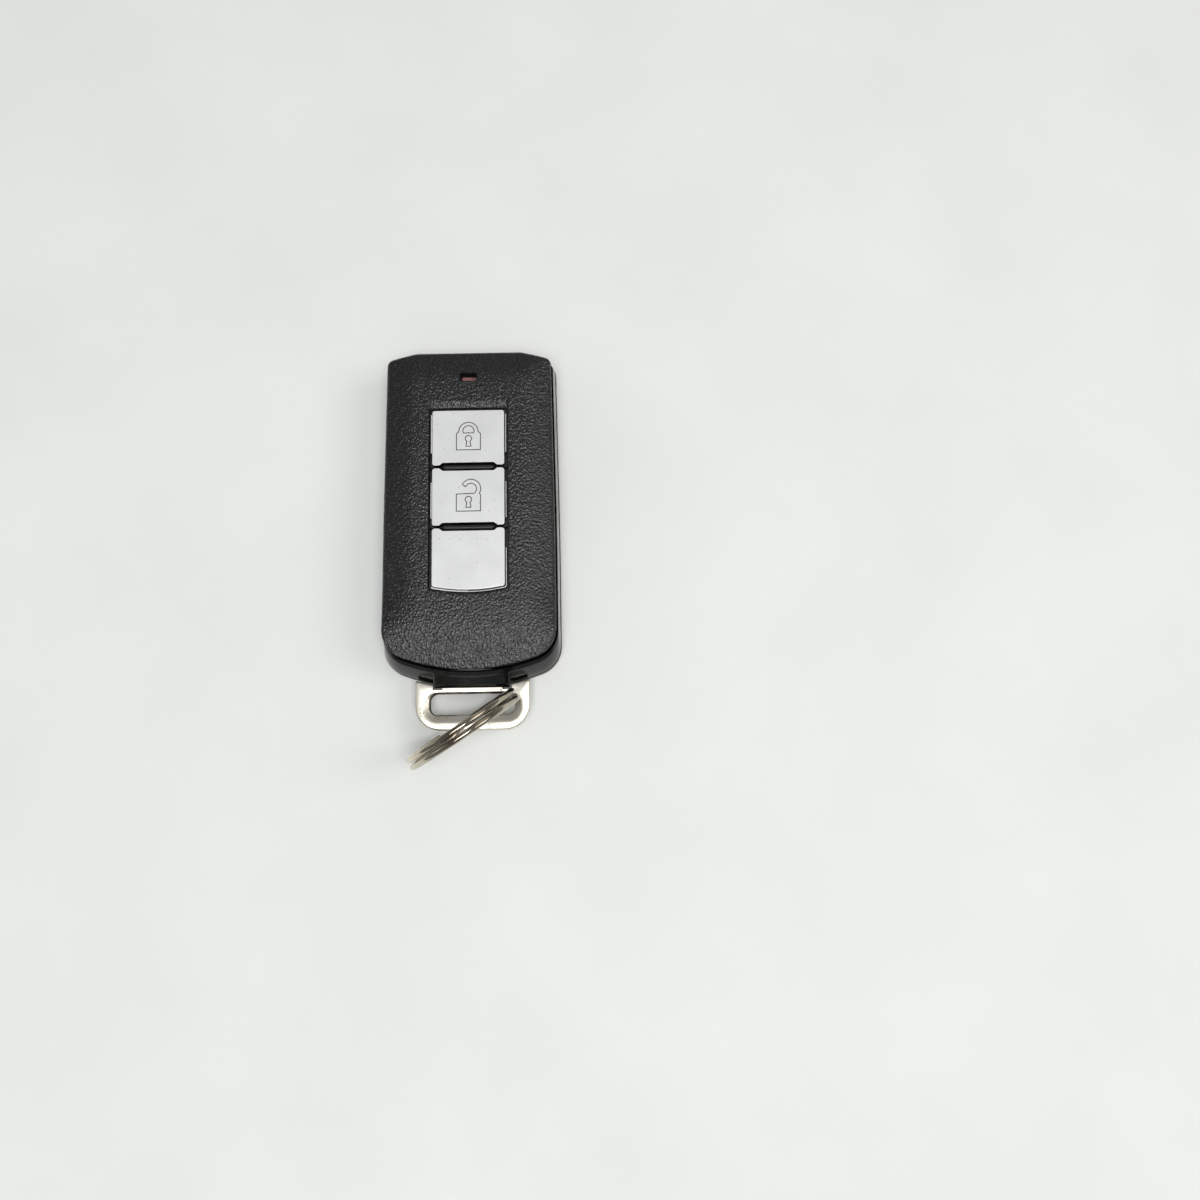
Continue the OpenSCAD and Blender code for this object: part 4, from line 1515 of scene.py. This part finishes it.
@dataclass
class PadlockSymbol:
    """A padlock scribed in thin lines: its outline, the hole of its shackle and its keyhole."""

    middle: Pair
    is_open: bool
    line: float = 0.18
    sink: float = 0.03
    stand: float = 0.006
    half: float = 2.4
    body_h: float = 3.5
    shackle: Pair = (1.94, 1.12)
    hole_r: float = 0.64
    corner_r: float = 0.02
    foot: float = 0.1
    waist: Pair = (0.16, 0.12)
    lift: float = 0.28
    hole_lift: float = 0.12
    hole_foot: Pair = (0.1, 0.02)
    open_at: Pair = (0.5, 1.05)
    open_outer: Pair = (152, -16)
    open_inner: Pair = (-58, 158)
    open_in: float = 0.25
    keyhole_y: float = -1.15
    keyhole_arc: Pair = (242, -62)
    keyhole_foot: Pair = (0.52, 1.6)

    def outlines(self) -> list[Loop]:
        """Gives the closed lines of the symbol.

        Returns:
            The lines, about the middle of the top edge of the padlock's body.
        """
        outer, inner = self.shackle
        body = np.array([[self.half, -self.foot], [self.half, -self.body_h], [-self.half, -self.body_h]])
        if self.is_open:
            bow = arc(self.open_at, outer, *self.open_outer, 26)
            hole = arc(self.open_at, inner, *self.open_inner, 22)
            shapes = [np.vstack([bow, [[self.half - self.open_in, 0.0]], body, [[-self.half, 0.0]], hole])]
        else:
            wide, up = outer + self.waist[0], self.waist[1]
            bow = arc((0.0, self.lift), outer, 180, 0, 28)
            shapes = [np.vstack([[[-self.half, -self.foot], [-wide, up]], bow, [[wide, up]], body])]
            hole = arc((0.0, self.lift + self.hole_lift), inner, 180, 0, 22)
            wide, up = inner - self.hole_foot[0], self.hole_foot[1]
            shapes.append(np.vstack([hole, [[wide, up], [-wide, up]]]))
        ring = arc((0.0, self.keyhole_y), self.hole_r, *self.keyhole_arc, 24)
        wide, low = self.keyhole_foot[0], self.keyhole_y - self.keyhole_foot[1]
        shapes.append(np.vstack([ring, [[wide, low], [-wide, low]]]))
        return shapes

    def build(self, name: str, z: float) -> Piece:
        """Builds the lines on a key.

        Args:
            name: name of the piece.
            z: height of the key's top.

        Returns:
            The piece.
        """
        parts = []
        for shape in self.outlines():
            dense = rounded([(x, y, self.corner_r) for x, y in shape], 2)[0]
            before, after = np.roll(dense, 1, axis=0), np.roll(dense, -1, axis=0)
            along = after - before
            along /= np.linalg.norm(along, axis=1)[:, None]
            across = np.column_stack([-along[:, 1], along[:, 0]]) * self.line / 2
            loops = [dense + across + self.middle, dense - across + self.middle]
            rows = [row(loops[0], z - self.sink), row(loops[0], z + self.stand),
                    row(loops[1], z + self.stand), row(loops[1], z - self.sink)]
            parts.append(skin(name, rows, Ends.JOINED))
        return joined(parts[0], parts[1:])


@dataclass
class Keypad:
    """The three keys, their symbols and the rubber pad whose bars show between them."""

    column: KeyColumn
    pad_room: float = 0.5
    pad_t: float = 0.6
    pad_out: float = 2.4
    pad_soft: Pair = (0.3, 0.2)
    pad_counts: tuple[int, int, int, int] = (60, 30, 60, 30)
    bar_r: float = 0.42
    bar_corner_r: Pair = (0.3, 0.25)
    bar_tip_r: float = 0.05
    bar_turns: tuple[float, ...] = (25, 50, 75, 90)
    bar_draw: float = 0.4
    lock_ledge: Pair = (2.7, 0.7)
    unlock_ledge: Pair = (1.7, 2.9)
    tail_ledge: Pair = (1.0, 4.0)
    no_end: float = -99.0
    symbol_x: float = 0.05
    symbol_down: Pair = (4.75, 5.35)

    def keys(self) -> list[PushKey]:
        """Gives the three keys.

        Returns:
            The keys, each with the stretch in which its ledge shows on the left and on the right.
        """
        col = self.column
        low, high = col.splits
        lock = (low + self.lock_ledge[0], col.top - self.lock_ledge[1])
        unlock = (high + self.unlock_ledge[0], low - self.unlock_ledge[1])
        left, right = (self.no_end, col.tail + self.tail_ledge[0]), (self.no_end, high - self.tail_ledge[1])
        return [PushKey(col, 0, "lock_key_top", "lock_button", Body.LOCK, lock, lock),
                PushKey(col, 1, "unlock_key_top", "unlock_button", Body.UNLOCK, unlock, unlock),
                PushKey(col, 2, "tailgate_key_top", "tailgate_button", Body.TAILGATE, left, right)]

    def bar(self, y: float, low: float, high: float) -> Piece:
        """Makes one raised bar with pointed ends and a soft top.

        Args:
            y: place of the bar.
            low: its lower side.
            high: its top.

        Returns:
            The shape.
        """
        half, thick, point = self.column.bar_w / 2, self.column.bar_l / 2, self.column.bar_point
        side_r, tip_r = self.bar_corner_r
        right = [(half - point, y + thick, side_r), (half, y, tip_r), (half - point, y - thick, side_r)]
        flank = rounded([*right, *mirrored(right)], 6)[0]
        rows = [row(flank, low), row(flank, high - self.bar_r)]
        for turn in np.radians(self.bar_turns):
            shrink = self.bar_r * (1 - math.cos(turn))
            thin, back = thick - shrink, half - point - shrink * self.bar_draw
            r = min(side_r, thin)
            right = [(back, y + thin, r), (half - shrink, y, self.bar_tip_r), (back, y - thin, r)]
            rows.append(row(rounded([*right, *mirrored(right)], 6)[0],
                            high - self.bar_r * (1 - math.sin(turn))))
        return skin("bar", rows, Ends.CAPPED)

    def build_pad(self) -> Piece:
        """Builds the rubber pad under the keys.

        Returns:
            The piece.
        """
        top = float(box_mm("keypad_membrane")[1][2])
        z = float(box_mm("unlock_button")[0][2]) - self.pad_room
        inset, down = self.pad_soft
        out = self.column.window(self.pad_out, 0.0, self.pad_counts)
        soft = self.column.window(self.pad_out - inset, 0.0, self.pad_counts)
        sheet = skin("keypad_rubber", [row(out, z - self.pad_t), row(out, z - down), row(soft, z)], Ends.CAPPED)
        bars = [self.bar(y, z - self.pad_t / 2, top) for y in self.column.splits]
        return joined(sheet, bars)

    def build(self, looks: Finishes) -> None:
        """Builds and dresses the keypad.

        Args:
            looks: the materials.
        """
        for key in self.keys():
            finish_piece(key.build(), looks.paint, key.body, [key.node])
        finish_piece(self.build_pad(), looks.rubber, Body.CASE, ["keypad_membrane"])
        z = float(box_mm("lock_button")[1][2])
        lock = PadlockSymbol((self.symbol_x, self.column.top - self.symbol_down[0]), False)
        finish_piece(lock.build("lock_symbol", z), looks.ink, Body.LOCK)
        edge = self.column.splits[0] - self.column.gap / 2
        unlock = PadlockSymbol((self.symbol_x, edge - self.symbol_down[1]), True)
        finish_piece(unlock.build("unlock_symbol", z), looks.ink, Body.UNLOCK)


@dataclass
class EmergencyKey:
    """Loop and shank of the emergency key: a flat plated casting with a bevelled slot."""

    outline: CaseOutline
    half: float = 11.45
    corner_r: float = 5.0
    gap: float = 0.35
    root_half: float = 7.95
    root_y: float = -34.75
    slot: Pair = (17.0, 4.3)
    slot_r: float = 1.6
    slot_flat: float = 0.1
    bar: float = 3.0
    bevel: float = 1.5
    bevel_top: float = 0.3
    bevel_deep: float = 0.42
    bevel_rows: tuple[Pair, ...] = ((-0.12, 0.0), (0.048, 0.042), (0.5, 0.5), (1.0, 1.0))
    edge_r: float = 0.3
    shank_half: float = 6.2
    shank_l: float = 11.0
    shank_edge: float = 0.2
    shank_r: float = 0.5
    root_lap: float = 0.05
    root_r: float = 0.05
    notch: Triple = (-26.5, 0.8, 1.1)
    notch_r: float = 0.1
    leg_r: float = 0.35
    top_points: int = 25
    top_r: float = 0.2
    pin_room: float = 0.05
    pin_points: int = 48
    counts: tuple[int, int, int, int] = (50, 80, 50, 120)

    def outer(self, inset: float) -> Loop:
        """Gives the outside of the loop before the notch of its root is cut.

        Args:
            inset: how far it is drawn in.

        Returns:
            The points, from the top right corner down the right side and round.
        """
        case_r = self.outline.tail_r + self.gap
        middle = self.outline.tail_y + self.outline.tail_r
        low = float(box_mm("key_head")[0][1])
        half = self.half - inset
        across = np.linspace(-half, half, self.top_points)
        up = middle - np.sqrt(case_r ** 2 - across ** 2) - inset
        right = [(half, float(up[-1]), self.leg_r), (half, low + inset, self.corner_r - inset)]
        top = [(float(x), float(y), self.top_r) for x, y in zip(across[1:-1], up[1:-1])]
        points, middles = rounded([*right, *mirrored(right), *top], 10)
        return resampled(points, middles[:4], self.counts, 0.3)

    def eye(self, grow: float, grow_top: float) -> Loop:
        """Gives the outline of the slot.

        Args:
            grow: how far it is grown at its sides and its foot.
            grow_top: how far it is grown at its top.

        Returns:
            The points, from the top right corner down the right side and round.
        """
        low = float(box_mm("key_head")[0][1]) + self.bar
        half, room = self.slot[0] / 2 + grow, (self.slot[1] + grow + grow_top) / 2 - self.slot_flat
        r = min(self.slot_r + grow, room)
        side = [(half, low + self.slot[1] + grow_top, r), (half, low - grow, r)]
        points, middles = rounded([*side, *mirrored(side)], 12)
        return resampled(points, middles, self.counts, 0.3)

    def half_rows(self, sign: float, mid: float, half_t: float) -> list[np.ndarray]:
        """Gives the rows of one face, from the outside to the middle of the slot.

        Args:
            sign: 1 for the upper face, -1 for the lower one.
            mid: middle height of the head.
            half_t: half of its thickness.

        Returns:
            The rows.
        """
        rows = [row(self.outer(self.edge_r * inset), mid + sign * (half_t - self.edge_r * down))
                for inset, down in quarter(3)]
        for share, drop in self.bevel_rows:
            left = 1 - share
            rows.append(row(self.eye(self.bevel * left, self.bevel_top * left),
                            mid + sign * (half_t - self.bevel_deep * drop)))
        return rows

    def shank(self, low: float, high: float) -> Piece:
        """Makes the shank with the notch that the latch spring drops into.

        Args:
            low: its lower side.
            high: its upper side.

        Returns:
            The shape.
        """
        end, root = self.outline.tail_y + self.shank_l, self.root_y - self.root_lap
        y, deep, wide = self.notch
        edge, r = self.shank_edge, self.notch_r
        rows = []
        for z, inset in ((low, edge), (low + edge, 0.0), (high - edge, 0.0), (high, edge)):
            h = self.shank_half - inset
            points = [(-h, root, self.root_r), (-h, end - inset, self.shank_r), (h, end - inset, self.shank_r),
                      (h, y + wide, r), (h - deep, y, r), (h, y - wide, r), (h, root, self.root_r)]
            rows.append(row(rounded(points, 5)[0], z))
        return combined(skin("shank", rows, Ends.CAPPED), self.pin_tool(), Change.CUT)

    def pin_tool(self) -> Piece:
        """Makes the hole of the pin that holds the blade, a hair wider than the pin.

        Returns:
            The shape.
        """
        low, high = box_mm("key_pin")
        middle = (low + high) / 2
        radius = (high[0] - low[0]) / 2 + self.pin_room
        ring = arc((middle[0], middle[1]), radius, 0, 360, self.pin_points)[:-1]
        return skin("pin_tool", [row(ring, low[2] - PAST), row(ring, high[2] + PAST)], Ends.CAPPED)

    def build(self, looks: Finishes) -> None:
        """Builds and dresses the key.

        Args:
            looks: the materials.
        """
        low, high = box_mm("key_head")
        mid, half_t = (low[2] + high[2]) / 2, (high[2] - low[2]) / 2
        rows = self.half_rows(1.0, mid, half_t) + list(reversed(self.half_rows(-1.0, mid, half_t)))
        loop = skin("key_loop", rows, Ends.JOINED)
        root = rounded_box("root_tool", (-self.root_half, self.root_y, low[2] - PAST),
                           (self.root_half, self.outline.cover_tail, high[2] + PAST), self.edge_r)
        loop = joined(combined(loop, root, Change.CUT), [self.shank(low[2], high[2])])
        finish_piece(loop, looks.loop, Body.KEY, ["key_head"])


@dataclass
class Latch:
    """Thumb slide on the back: a plate with a ribbed knob and a fork for the leaf spring."""

    ribs: int = 5
    rib_gap: float = 0.68
    rib_size: Triple = (0.3, 3.8, 0.3)
    knob: Pair = (3.6, 4.4)
    knob_z: float = 0.35
    knob_r: float = 0.3
    plate_z: float = 1.475
    plate_t: float = 0.9
    plate_r: float = 0.12
    lap: float = 0.3
    fork: Pair = (0.9, 2.0)
    spring_room: float = 0.85

    def rib_tree(self, material: Material) -> tuple[NodeTree, dict[str, str]]:
        """Builds the node tree that sets a row of soft ribs.

        Args:
            material: material of the ribs.

        Returns:
            The tree, and the identifier of each input by its name.
        """
        tree, names = node_group("grip_ribs", (("Count", "Int"), ("First", "Vector"), ("Step", "Vector"),
                                               ("Size", "Vector")))
        given = add_node(tree, "NodeGroupInput").outputs
        line = add_node(tree, "GeometryNodeMeshLine", {"mode": "OFFSET"},
                        {"Count": given["Count"], "Start Location": given["First"], "Offset": given["Step"]})
        bead = add_node(tree, "GeometryNodeMeshUVSphere", {"Segments": 16, "Rings": 10, "Radius": 0.5})
        soft = add_node(tree, "GeometryNodeSetShadeSmooth", links={"Geometry": bead})
        stretch = add_node(tree, "GeometryNodeTransform", links={"Geometry": soft, "Scale": given["Size"]})
        spread = add_node(tree, "GeometryNodeInstanceOnPoints", links={"Points": line, "Instance": stretch})
        real = add_node(tree, "GeometryNodeRealizeInstances", links={"Geometry": spread})
        dressed = add_node(tree, "GeometryNodeSetMaterial", {"Material": material}, {"Geometry": real})
        add_node(tree, "NodeGroupOutput", links={0: dressed})
        return tree, names

    def build_ribs(self, centre: Sequence[float], material: Material) -> Piece:
        """Builds the ribs on the knob.

        Args:
            centre: middle of the ribs in millimetres.
            material: their material.

        Returns:
            The piece.
        """
        tree, names = self.rib_tree(material)
        first = Vector(centre) - Vector(((self.ribs - 1) / 2 * self.rib_gap, 0, 0))
        return grown("latch_ribs", tree, names, {
            "Count": self.ribs, "First": first * MM, "Step": Vector((self.rib_gap, 0, 0)) * MM,
            "Size": Vector(self.rib_size) * MM})

    def build(self, looks: Finishes) -> None:
        """Builds and dresses the slide.

        Args:
            looks: the materials.
        """
        low, high = box_mm("latch_slider")
        x, y = (low[0] + high[0]) / 2, (low[1] + high[1]) / 2
        lap_z = self.plate_z + self.lap
        plate = rounded_box("latch_slide_plate", (low[0], low[1], self.plate_z),
                            (high[0], high[1], self.plate_z + self.plate_t), self.plate_r)
        knob = rounded_box("knob", (x - self.knob[0] / 2, y - self.knob[1] / 2, self.knob_z),
                           (x + self.knob[0] / 2, y + self.knob[1] / 2, lap_z), self.knob_r)
        forks = [rounded_box("fork", (a, y - self.fork[1] / 2, lap_z),
                             (a + self.fork[0], y + self.fork[1] / 2, high[2]), self.plate_r)
                 for a in (low[0], low[0] + self.fork[0] + self.spring_room)]
        slide = joined(plate, [knob, *forks])
        finish_piece(slide, looks.latch, Body.LATCH, ["latch_slider"])
        ribs = self.build_ribs((x, y, self.knob_z), looks.latch)
        finish_piece(ribs, looks.latch, Body.LATCH)


@dataclass
class SplitRing:
    """Two-turn ring of flattened wire: a flat turn, a jog to the other side and a second flat turn."""

    radius: float = 12.46
    wire_w: float = 1.7
    wire_t: float = 1.25
    wire_r: float = 0.6
    turn_gap: float = 0.3
    jog_mid: float = 262.0
    jog_span: float = 36.0
    steps: int = 420
    yaw: float = 33.0
    lean: float = 8.0

    def tree(self, material: Material) -> tuple[NodeTree, dict[str, str]]:
        """Builds the node tree that sweeps the wire along its path.

        Args:
            material: material of the wire.

        Returns:
            The tree, and the identifier of each input by its name.
        """
        lengths = ("Mean Radius", "Wire Width", "Wire Thickness", "Wire Rounding", "Pitch")
        angles = ("Sweep", "Start", "Jog From", "Jog To")
        tree, names = node_group("two_turn_wire", (
            ("Steps", "Int"), *((name, "Float") for name in (*lengths, *angles)),
            ("Middle", "Vector"), ("Turn", "Vector")))
        given = add_node(tree, "NodeGroupInput").outputs
        line = add_node(tree, "GeometryNodeMeshLine", {"mode": "OFFSET", "Offset": (0, 0, 0)},
                        {"Count": given["Steps"]})
        index = add_node(tree, "GeometryNodeInputIndex")
        share = add_node(tree, "ShaderNodeMath", {"operation": "DIVIDE"}, {0: index, 1: given["Steps"]})
        along = add_node(tree, "ShaderNodeMath", {"operation": "MULTIPLY"}, {0: share, 1: given["Sweep"]})
        turn = add_node(tree, "ShaderNodeMath", {"operation": "ADD"}, {0: along, 1: given["Start"]})
        cosine, sine = (add_node(tree, "ShaderNodeMath", {"operation": name}, {0: turn})
                        for name in ("COSINE", "SINE"))
        rise = add_node(tree, "ShaderNodeMapRange",
                        {"interpolation_type": "SMOOTHSTEP", "To Min": -0.5, "To Max": 0.5},
                        {"Value": along, "From Min": given["Jog From"], "From Max": given["Jog To"]})
        sizes = ((cosine, "Mean Radius"), (rise, "Pitch"), (sine, "Mean Radius"))
        parts = [add_node(tree, "ShaderNodeMath", {"operation": "MULTIPLY"}, {0: part, 1: given[size]})
                 for part, size in sizes]
        spot = add_node(tree, "ShaderNodeCombineXYZ", links=dict(enumerate(parts)))
        placed = add_node(tree, "GeometryNodeSetPosition", links={"Geometry": line, "Position": spot})
        path = add_node(tree, "GeometryNodeMeshToCurve", links={"Mesh": placed})
        upright = add_node(tree, "GeometryNodeSetCurveNormal", {"mode": "FREE", "Normal": (0, 1, 0)},
                           {"Curve": path})
        section = add_node(tree, "GeometryNodeCurvePrimitiveQuadrilateral",
                           links={"Width": given["Wire Thickness"], "Height": given["Wire Width"]})
        soft = add_node(tree, "GeometryNodeFilletCurve", {"mode": "POLY", "Count": 5},
                        {"Curve": section, "Radius": given["Wire Rounding"]})
        swept = add_node(tree, "GeometryNodeCurveToMesh", {"Fill Caps": True},
                         {"Curve": upright, "Profile Curve": soft})
        moved = add_node(tree, "GeometryNodeTransform", links={
            "Geometry": swept, "Translation": given["Middle"], "Rotation": given["Turn"]})
        real = add_node(tree, "GeometryNodeRealizeInstances", links={"Geometry": moved})
        dressed = add_node(tree, "GeometryNodeSetMaterial", {"Material": material}, {"Geometry": real})
        add_node(tree, "NodeGroupOutput", links={0: dressed})
        return tree, names

    def build(self, looks: Finishes) -> None:
        """Builds and dresses the ring.

        Args:
            looks: the materials.
        """
        tree, names = self.tree(looks.ring)
        mount = next(m for m in frame["record"]["mounts"] if m["name"] == "ring_eye")
        piece = grown("split_ring_wire", tree, names, {
            "Steps": self.steps, "Mean Radius": (self.radius - self.wire_w / 2) * MM,
            "Wire Width": self.wire_w * MM, "Wire Thickness": self.wire_t * MM,
            "Wire Rounding": self.wire_r * MM, "Pitch": (self.wire_t + self.turn_gap) * MM,
            "Sweep": math.radians(720 - self.jog_span), "Start": math.radians(self.jog_mid + self.jog_span / 2),
            "Jog From": math.radians(360 - self.jog_span), "Jog To": math.radians(360),
            "Middle": Vector(mount["pos_m"]),
            "Turn": Vector((math.radians(self.lean), 0, math.radians(self.yaw)))})
        soften(piece)
        finish_piece(piece, looks.ring, Body.RING, ["split_ring"])


class InnerParts:
    """The pieces inside the case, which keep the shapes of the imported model."""

    def __init__(self, looks: Finishes) -> None:
        """Chooses the material of each node.

        Args:
            looks: the materials.
        """
        self.materials = {
            "case_seal": looks.rubber, "led_lens": looks.lens, "lock_plunger": looks.resin,
            "unlock_plunger": looks.resin, "tailgate_plunger": looks.resin, "tact_switches": looks.steel,
            "circuit_board": looks.board, "status_led": looks.resin, "microcontroller": looks.chip,
            "radio_chip": looks.chip, "transponder_chip": looks.chip, "crystal": looks.can,
            "wake_antenna_core": looks.ferrite, "wake_antenna_winding": looks.copper,
            "passives": looks.ceramic, "coin_cell": looks.can, "battery_clip": looks.brass,
            "battery_spring": looks.brass, "key_blade": looks.blade, "key_pin": looks.steel,
            "latch_spring": looks.steel}

    def dress(self) -> None:
        """Gives each node its material."""
        for name, material in self.materials.items():
            node = frame["nodes"][name]
            node.data.materials.clear()
            node.data.materials.append(material)
            LOG.info("%s dressed in %s", name, material.name)


@dataclass(frozen=True)
class PaleBoard:
    """Matt white board: nearly even, with a faint cloud and a fine tooth."""

    name: str = "matt_white_board"
    pale: str = "#e7e9e6"
    dull: str = "#e3e5e2"
    cloud: float = 40.0
    tooth: float = 0.8
    tooth_deep: float = 0.01

    def material(self) -> Material:
        """Makes the material.

        Returns:
            The material.
        """
        mix = Recipe(self.name, {"IOR": 1.4, "Roughness": 0.8})
        tone = mix.clouded(self.cloud, self.dull, self.pale, detail=4.0)[2]
        tooth = add_node(mix.tree, "ShaderNodeTexNoise", {"Scale": 1 / self.tooth}, {"Vector": mix.place})
        relief = add_node(mix.tree, "ShaderNodeBump", {"Strength": 0.4, "Distance": self.tooth_deep * MM},
                          {"Height": tooth})
        return mix.feed(Base_Color=tone, Normal=relief)


@dataclass(frozen=True)
class Softbox:
    """One rectangular studio lamp, aimed at the fob."""

    name: str
    place: Triple
    size: Pair
    power: float
    tint: str = "#ffffff"

    def build(self) -> None:
        """Makes the lamp."""
        lamp = bpy.data.lights.new(self.name, "AREA")
        lamp.shape = "RECTANGLE"
        lamp.size, lamp.size_y = self.size
        lamp.energy = self.power
        lamp.color = linear(self.tint)[:3]
        piece = bpy.data.objects.new(self.name, lamp)
        piece.location = self.place
        piece.rotation_euler = (-Vector(self.place)).to_track_quat("-Z", "Y").to_euler()
        bpy.context.scene.collection.objects.link(piece)


@dataclass
class Studio:
    """Floor, light and the camera at the photograph's place."""

    image_px: float = 1200.0
    focal_px: float = 1200.0
    sensor: float = 36.0
    tilt: float = 10.0
    yaw: float = 1.05
    camera_at: Triple = (25.05, -59.17, 244.64)
    near_clip: float = 0.005
    floor_half: float = 3.0
    sky: float = 0.26
    sky_tint: str = "#f4f6f8"
    lamps: tuple[Softbox, ...] = (
        Softbox("ceiling_lamp", (0.06, -0.26, 1.0), (0.54, 0.44), 7.3),
        Softbox("right_lamp", (0.9, 0.0, 0.95), (0.6, 0.6), 3.6, "#fffbf4"),
        Softbox("left_lamp", (-1.3, 0.1, 0.55), (0.6, 0.6), 0.8),
        Softbox("far_lamp", (0.1, 1.2, 0.8), (0.6, 0.6), 0.8))

    def build_floor(self) -> None:
        """Makes the pale floor that the fob lies on."""
        edge = self.floor_half / MM
        floor = mesh_object("floor", np.array([[-edge, -edge, 0], [edge, -edge, 0], [edge, edge, 0],
                                               [-edge, edge, 0]]), [(0, 1, 2, 3)])
        floor.data.materials.append(PaleBoard().material())

    def build_light(self) -> None:
        """Sets an even sky and soft lamps, strongest from the tail side."""
        world = bpy.data.worlds.new("studio")
        world.use_nodes = True
        back = world.node_tree.nodes["Background"]
        back.inputs["Color"].default_value = linear(self.sky_tint)
        back.inputs["Strength"].default_value = self.sky
        bpy.context.scene.world = world
        for lamp in self.lamps:
            lamp.build()

    def build_camera(self) -> None:
        """Sets the camera."""
        t, p = math.radians(self.tilt), math.radians(-self.yaw)
        turn = Matrix.Rotation(p, 3, "Z")
        right, up = turn @ Vector((1, 0, 0)), turn @ Vector((0, math.cos(t), math.sin(t)))
        back = turn @ Vector((0, -math.sin(t), math.cos(t)))
        lens = bpy.data.cameras.new("camera")
        lens.sensor_width = self.sensor
        lens.lens = self.sensor * self.focal_px / self.image_px
        lens.clip_start = self.near_clip
        camera = bpy.data.objects.new("camera", lens)
        camera.matrix_world = Matrix.Translation(Vector(self.camera_at) * MM) @ Matrix(
            (right, up, back)).transposed().to_4x4()
        bpy.context.scene.collection.objects.link(camera)
        bpy.context.scene.camera = camera

    def build(self) -> None:
        """Builds the studio."""
        bpy.context.scene.view_settings.view_transform = "Standard"
        self.build_camera()
        self.build_floor()
        self.build_light()


def main() -> None:
    """Builds the studio and every piece."""
    logging.basicConfig(level=logging.INFO, format="%(message)s")
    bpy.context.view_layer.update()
    Studio().build()
    looks = Finishes()
    outline, column = CaseOutline(), KeyColumn()
    front = FrontCover(outline, column)
    finish_piece(front.build(), looks.shell, Body.CASE, ["front_cover"])
    finish_piece(front.build_shade(), looks.painted_shade_liner, Body.CASE)
    middle = MiddleFrame(outline)
    finish_piece(middle.build(), looks.band, Body.CASE, ["side_frame"])
    finish_piece(BackCover(outline, middle).build(), looks.back, Body.CASE, ["rear_cover"])
    Keypad(column).build(looks)
    EmergencyKey(outline).build(looks)
    Latch().build(looks)
    SplitRing().build(looks)
    InnerParts(looks).dress()


if __name__ == "__main__":
    main()
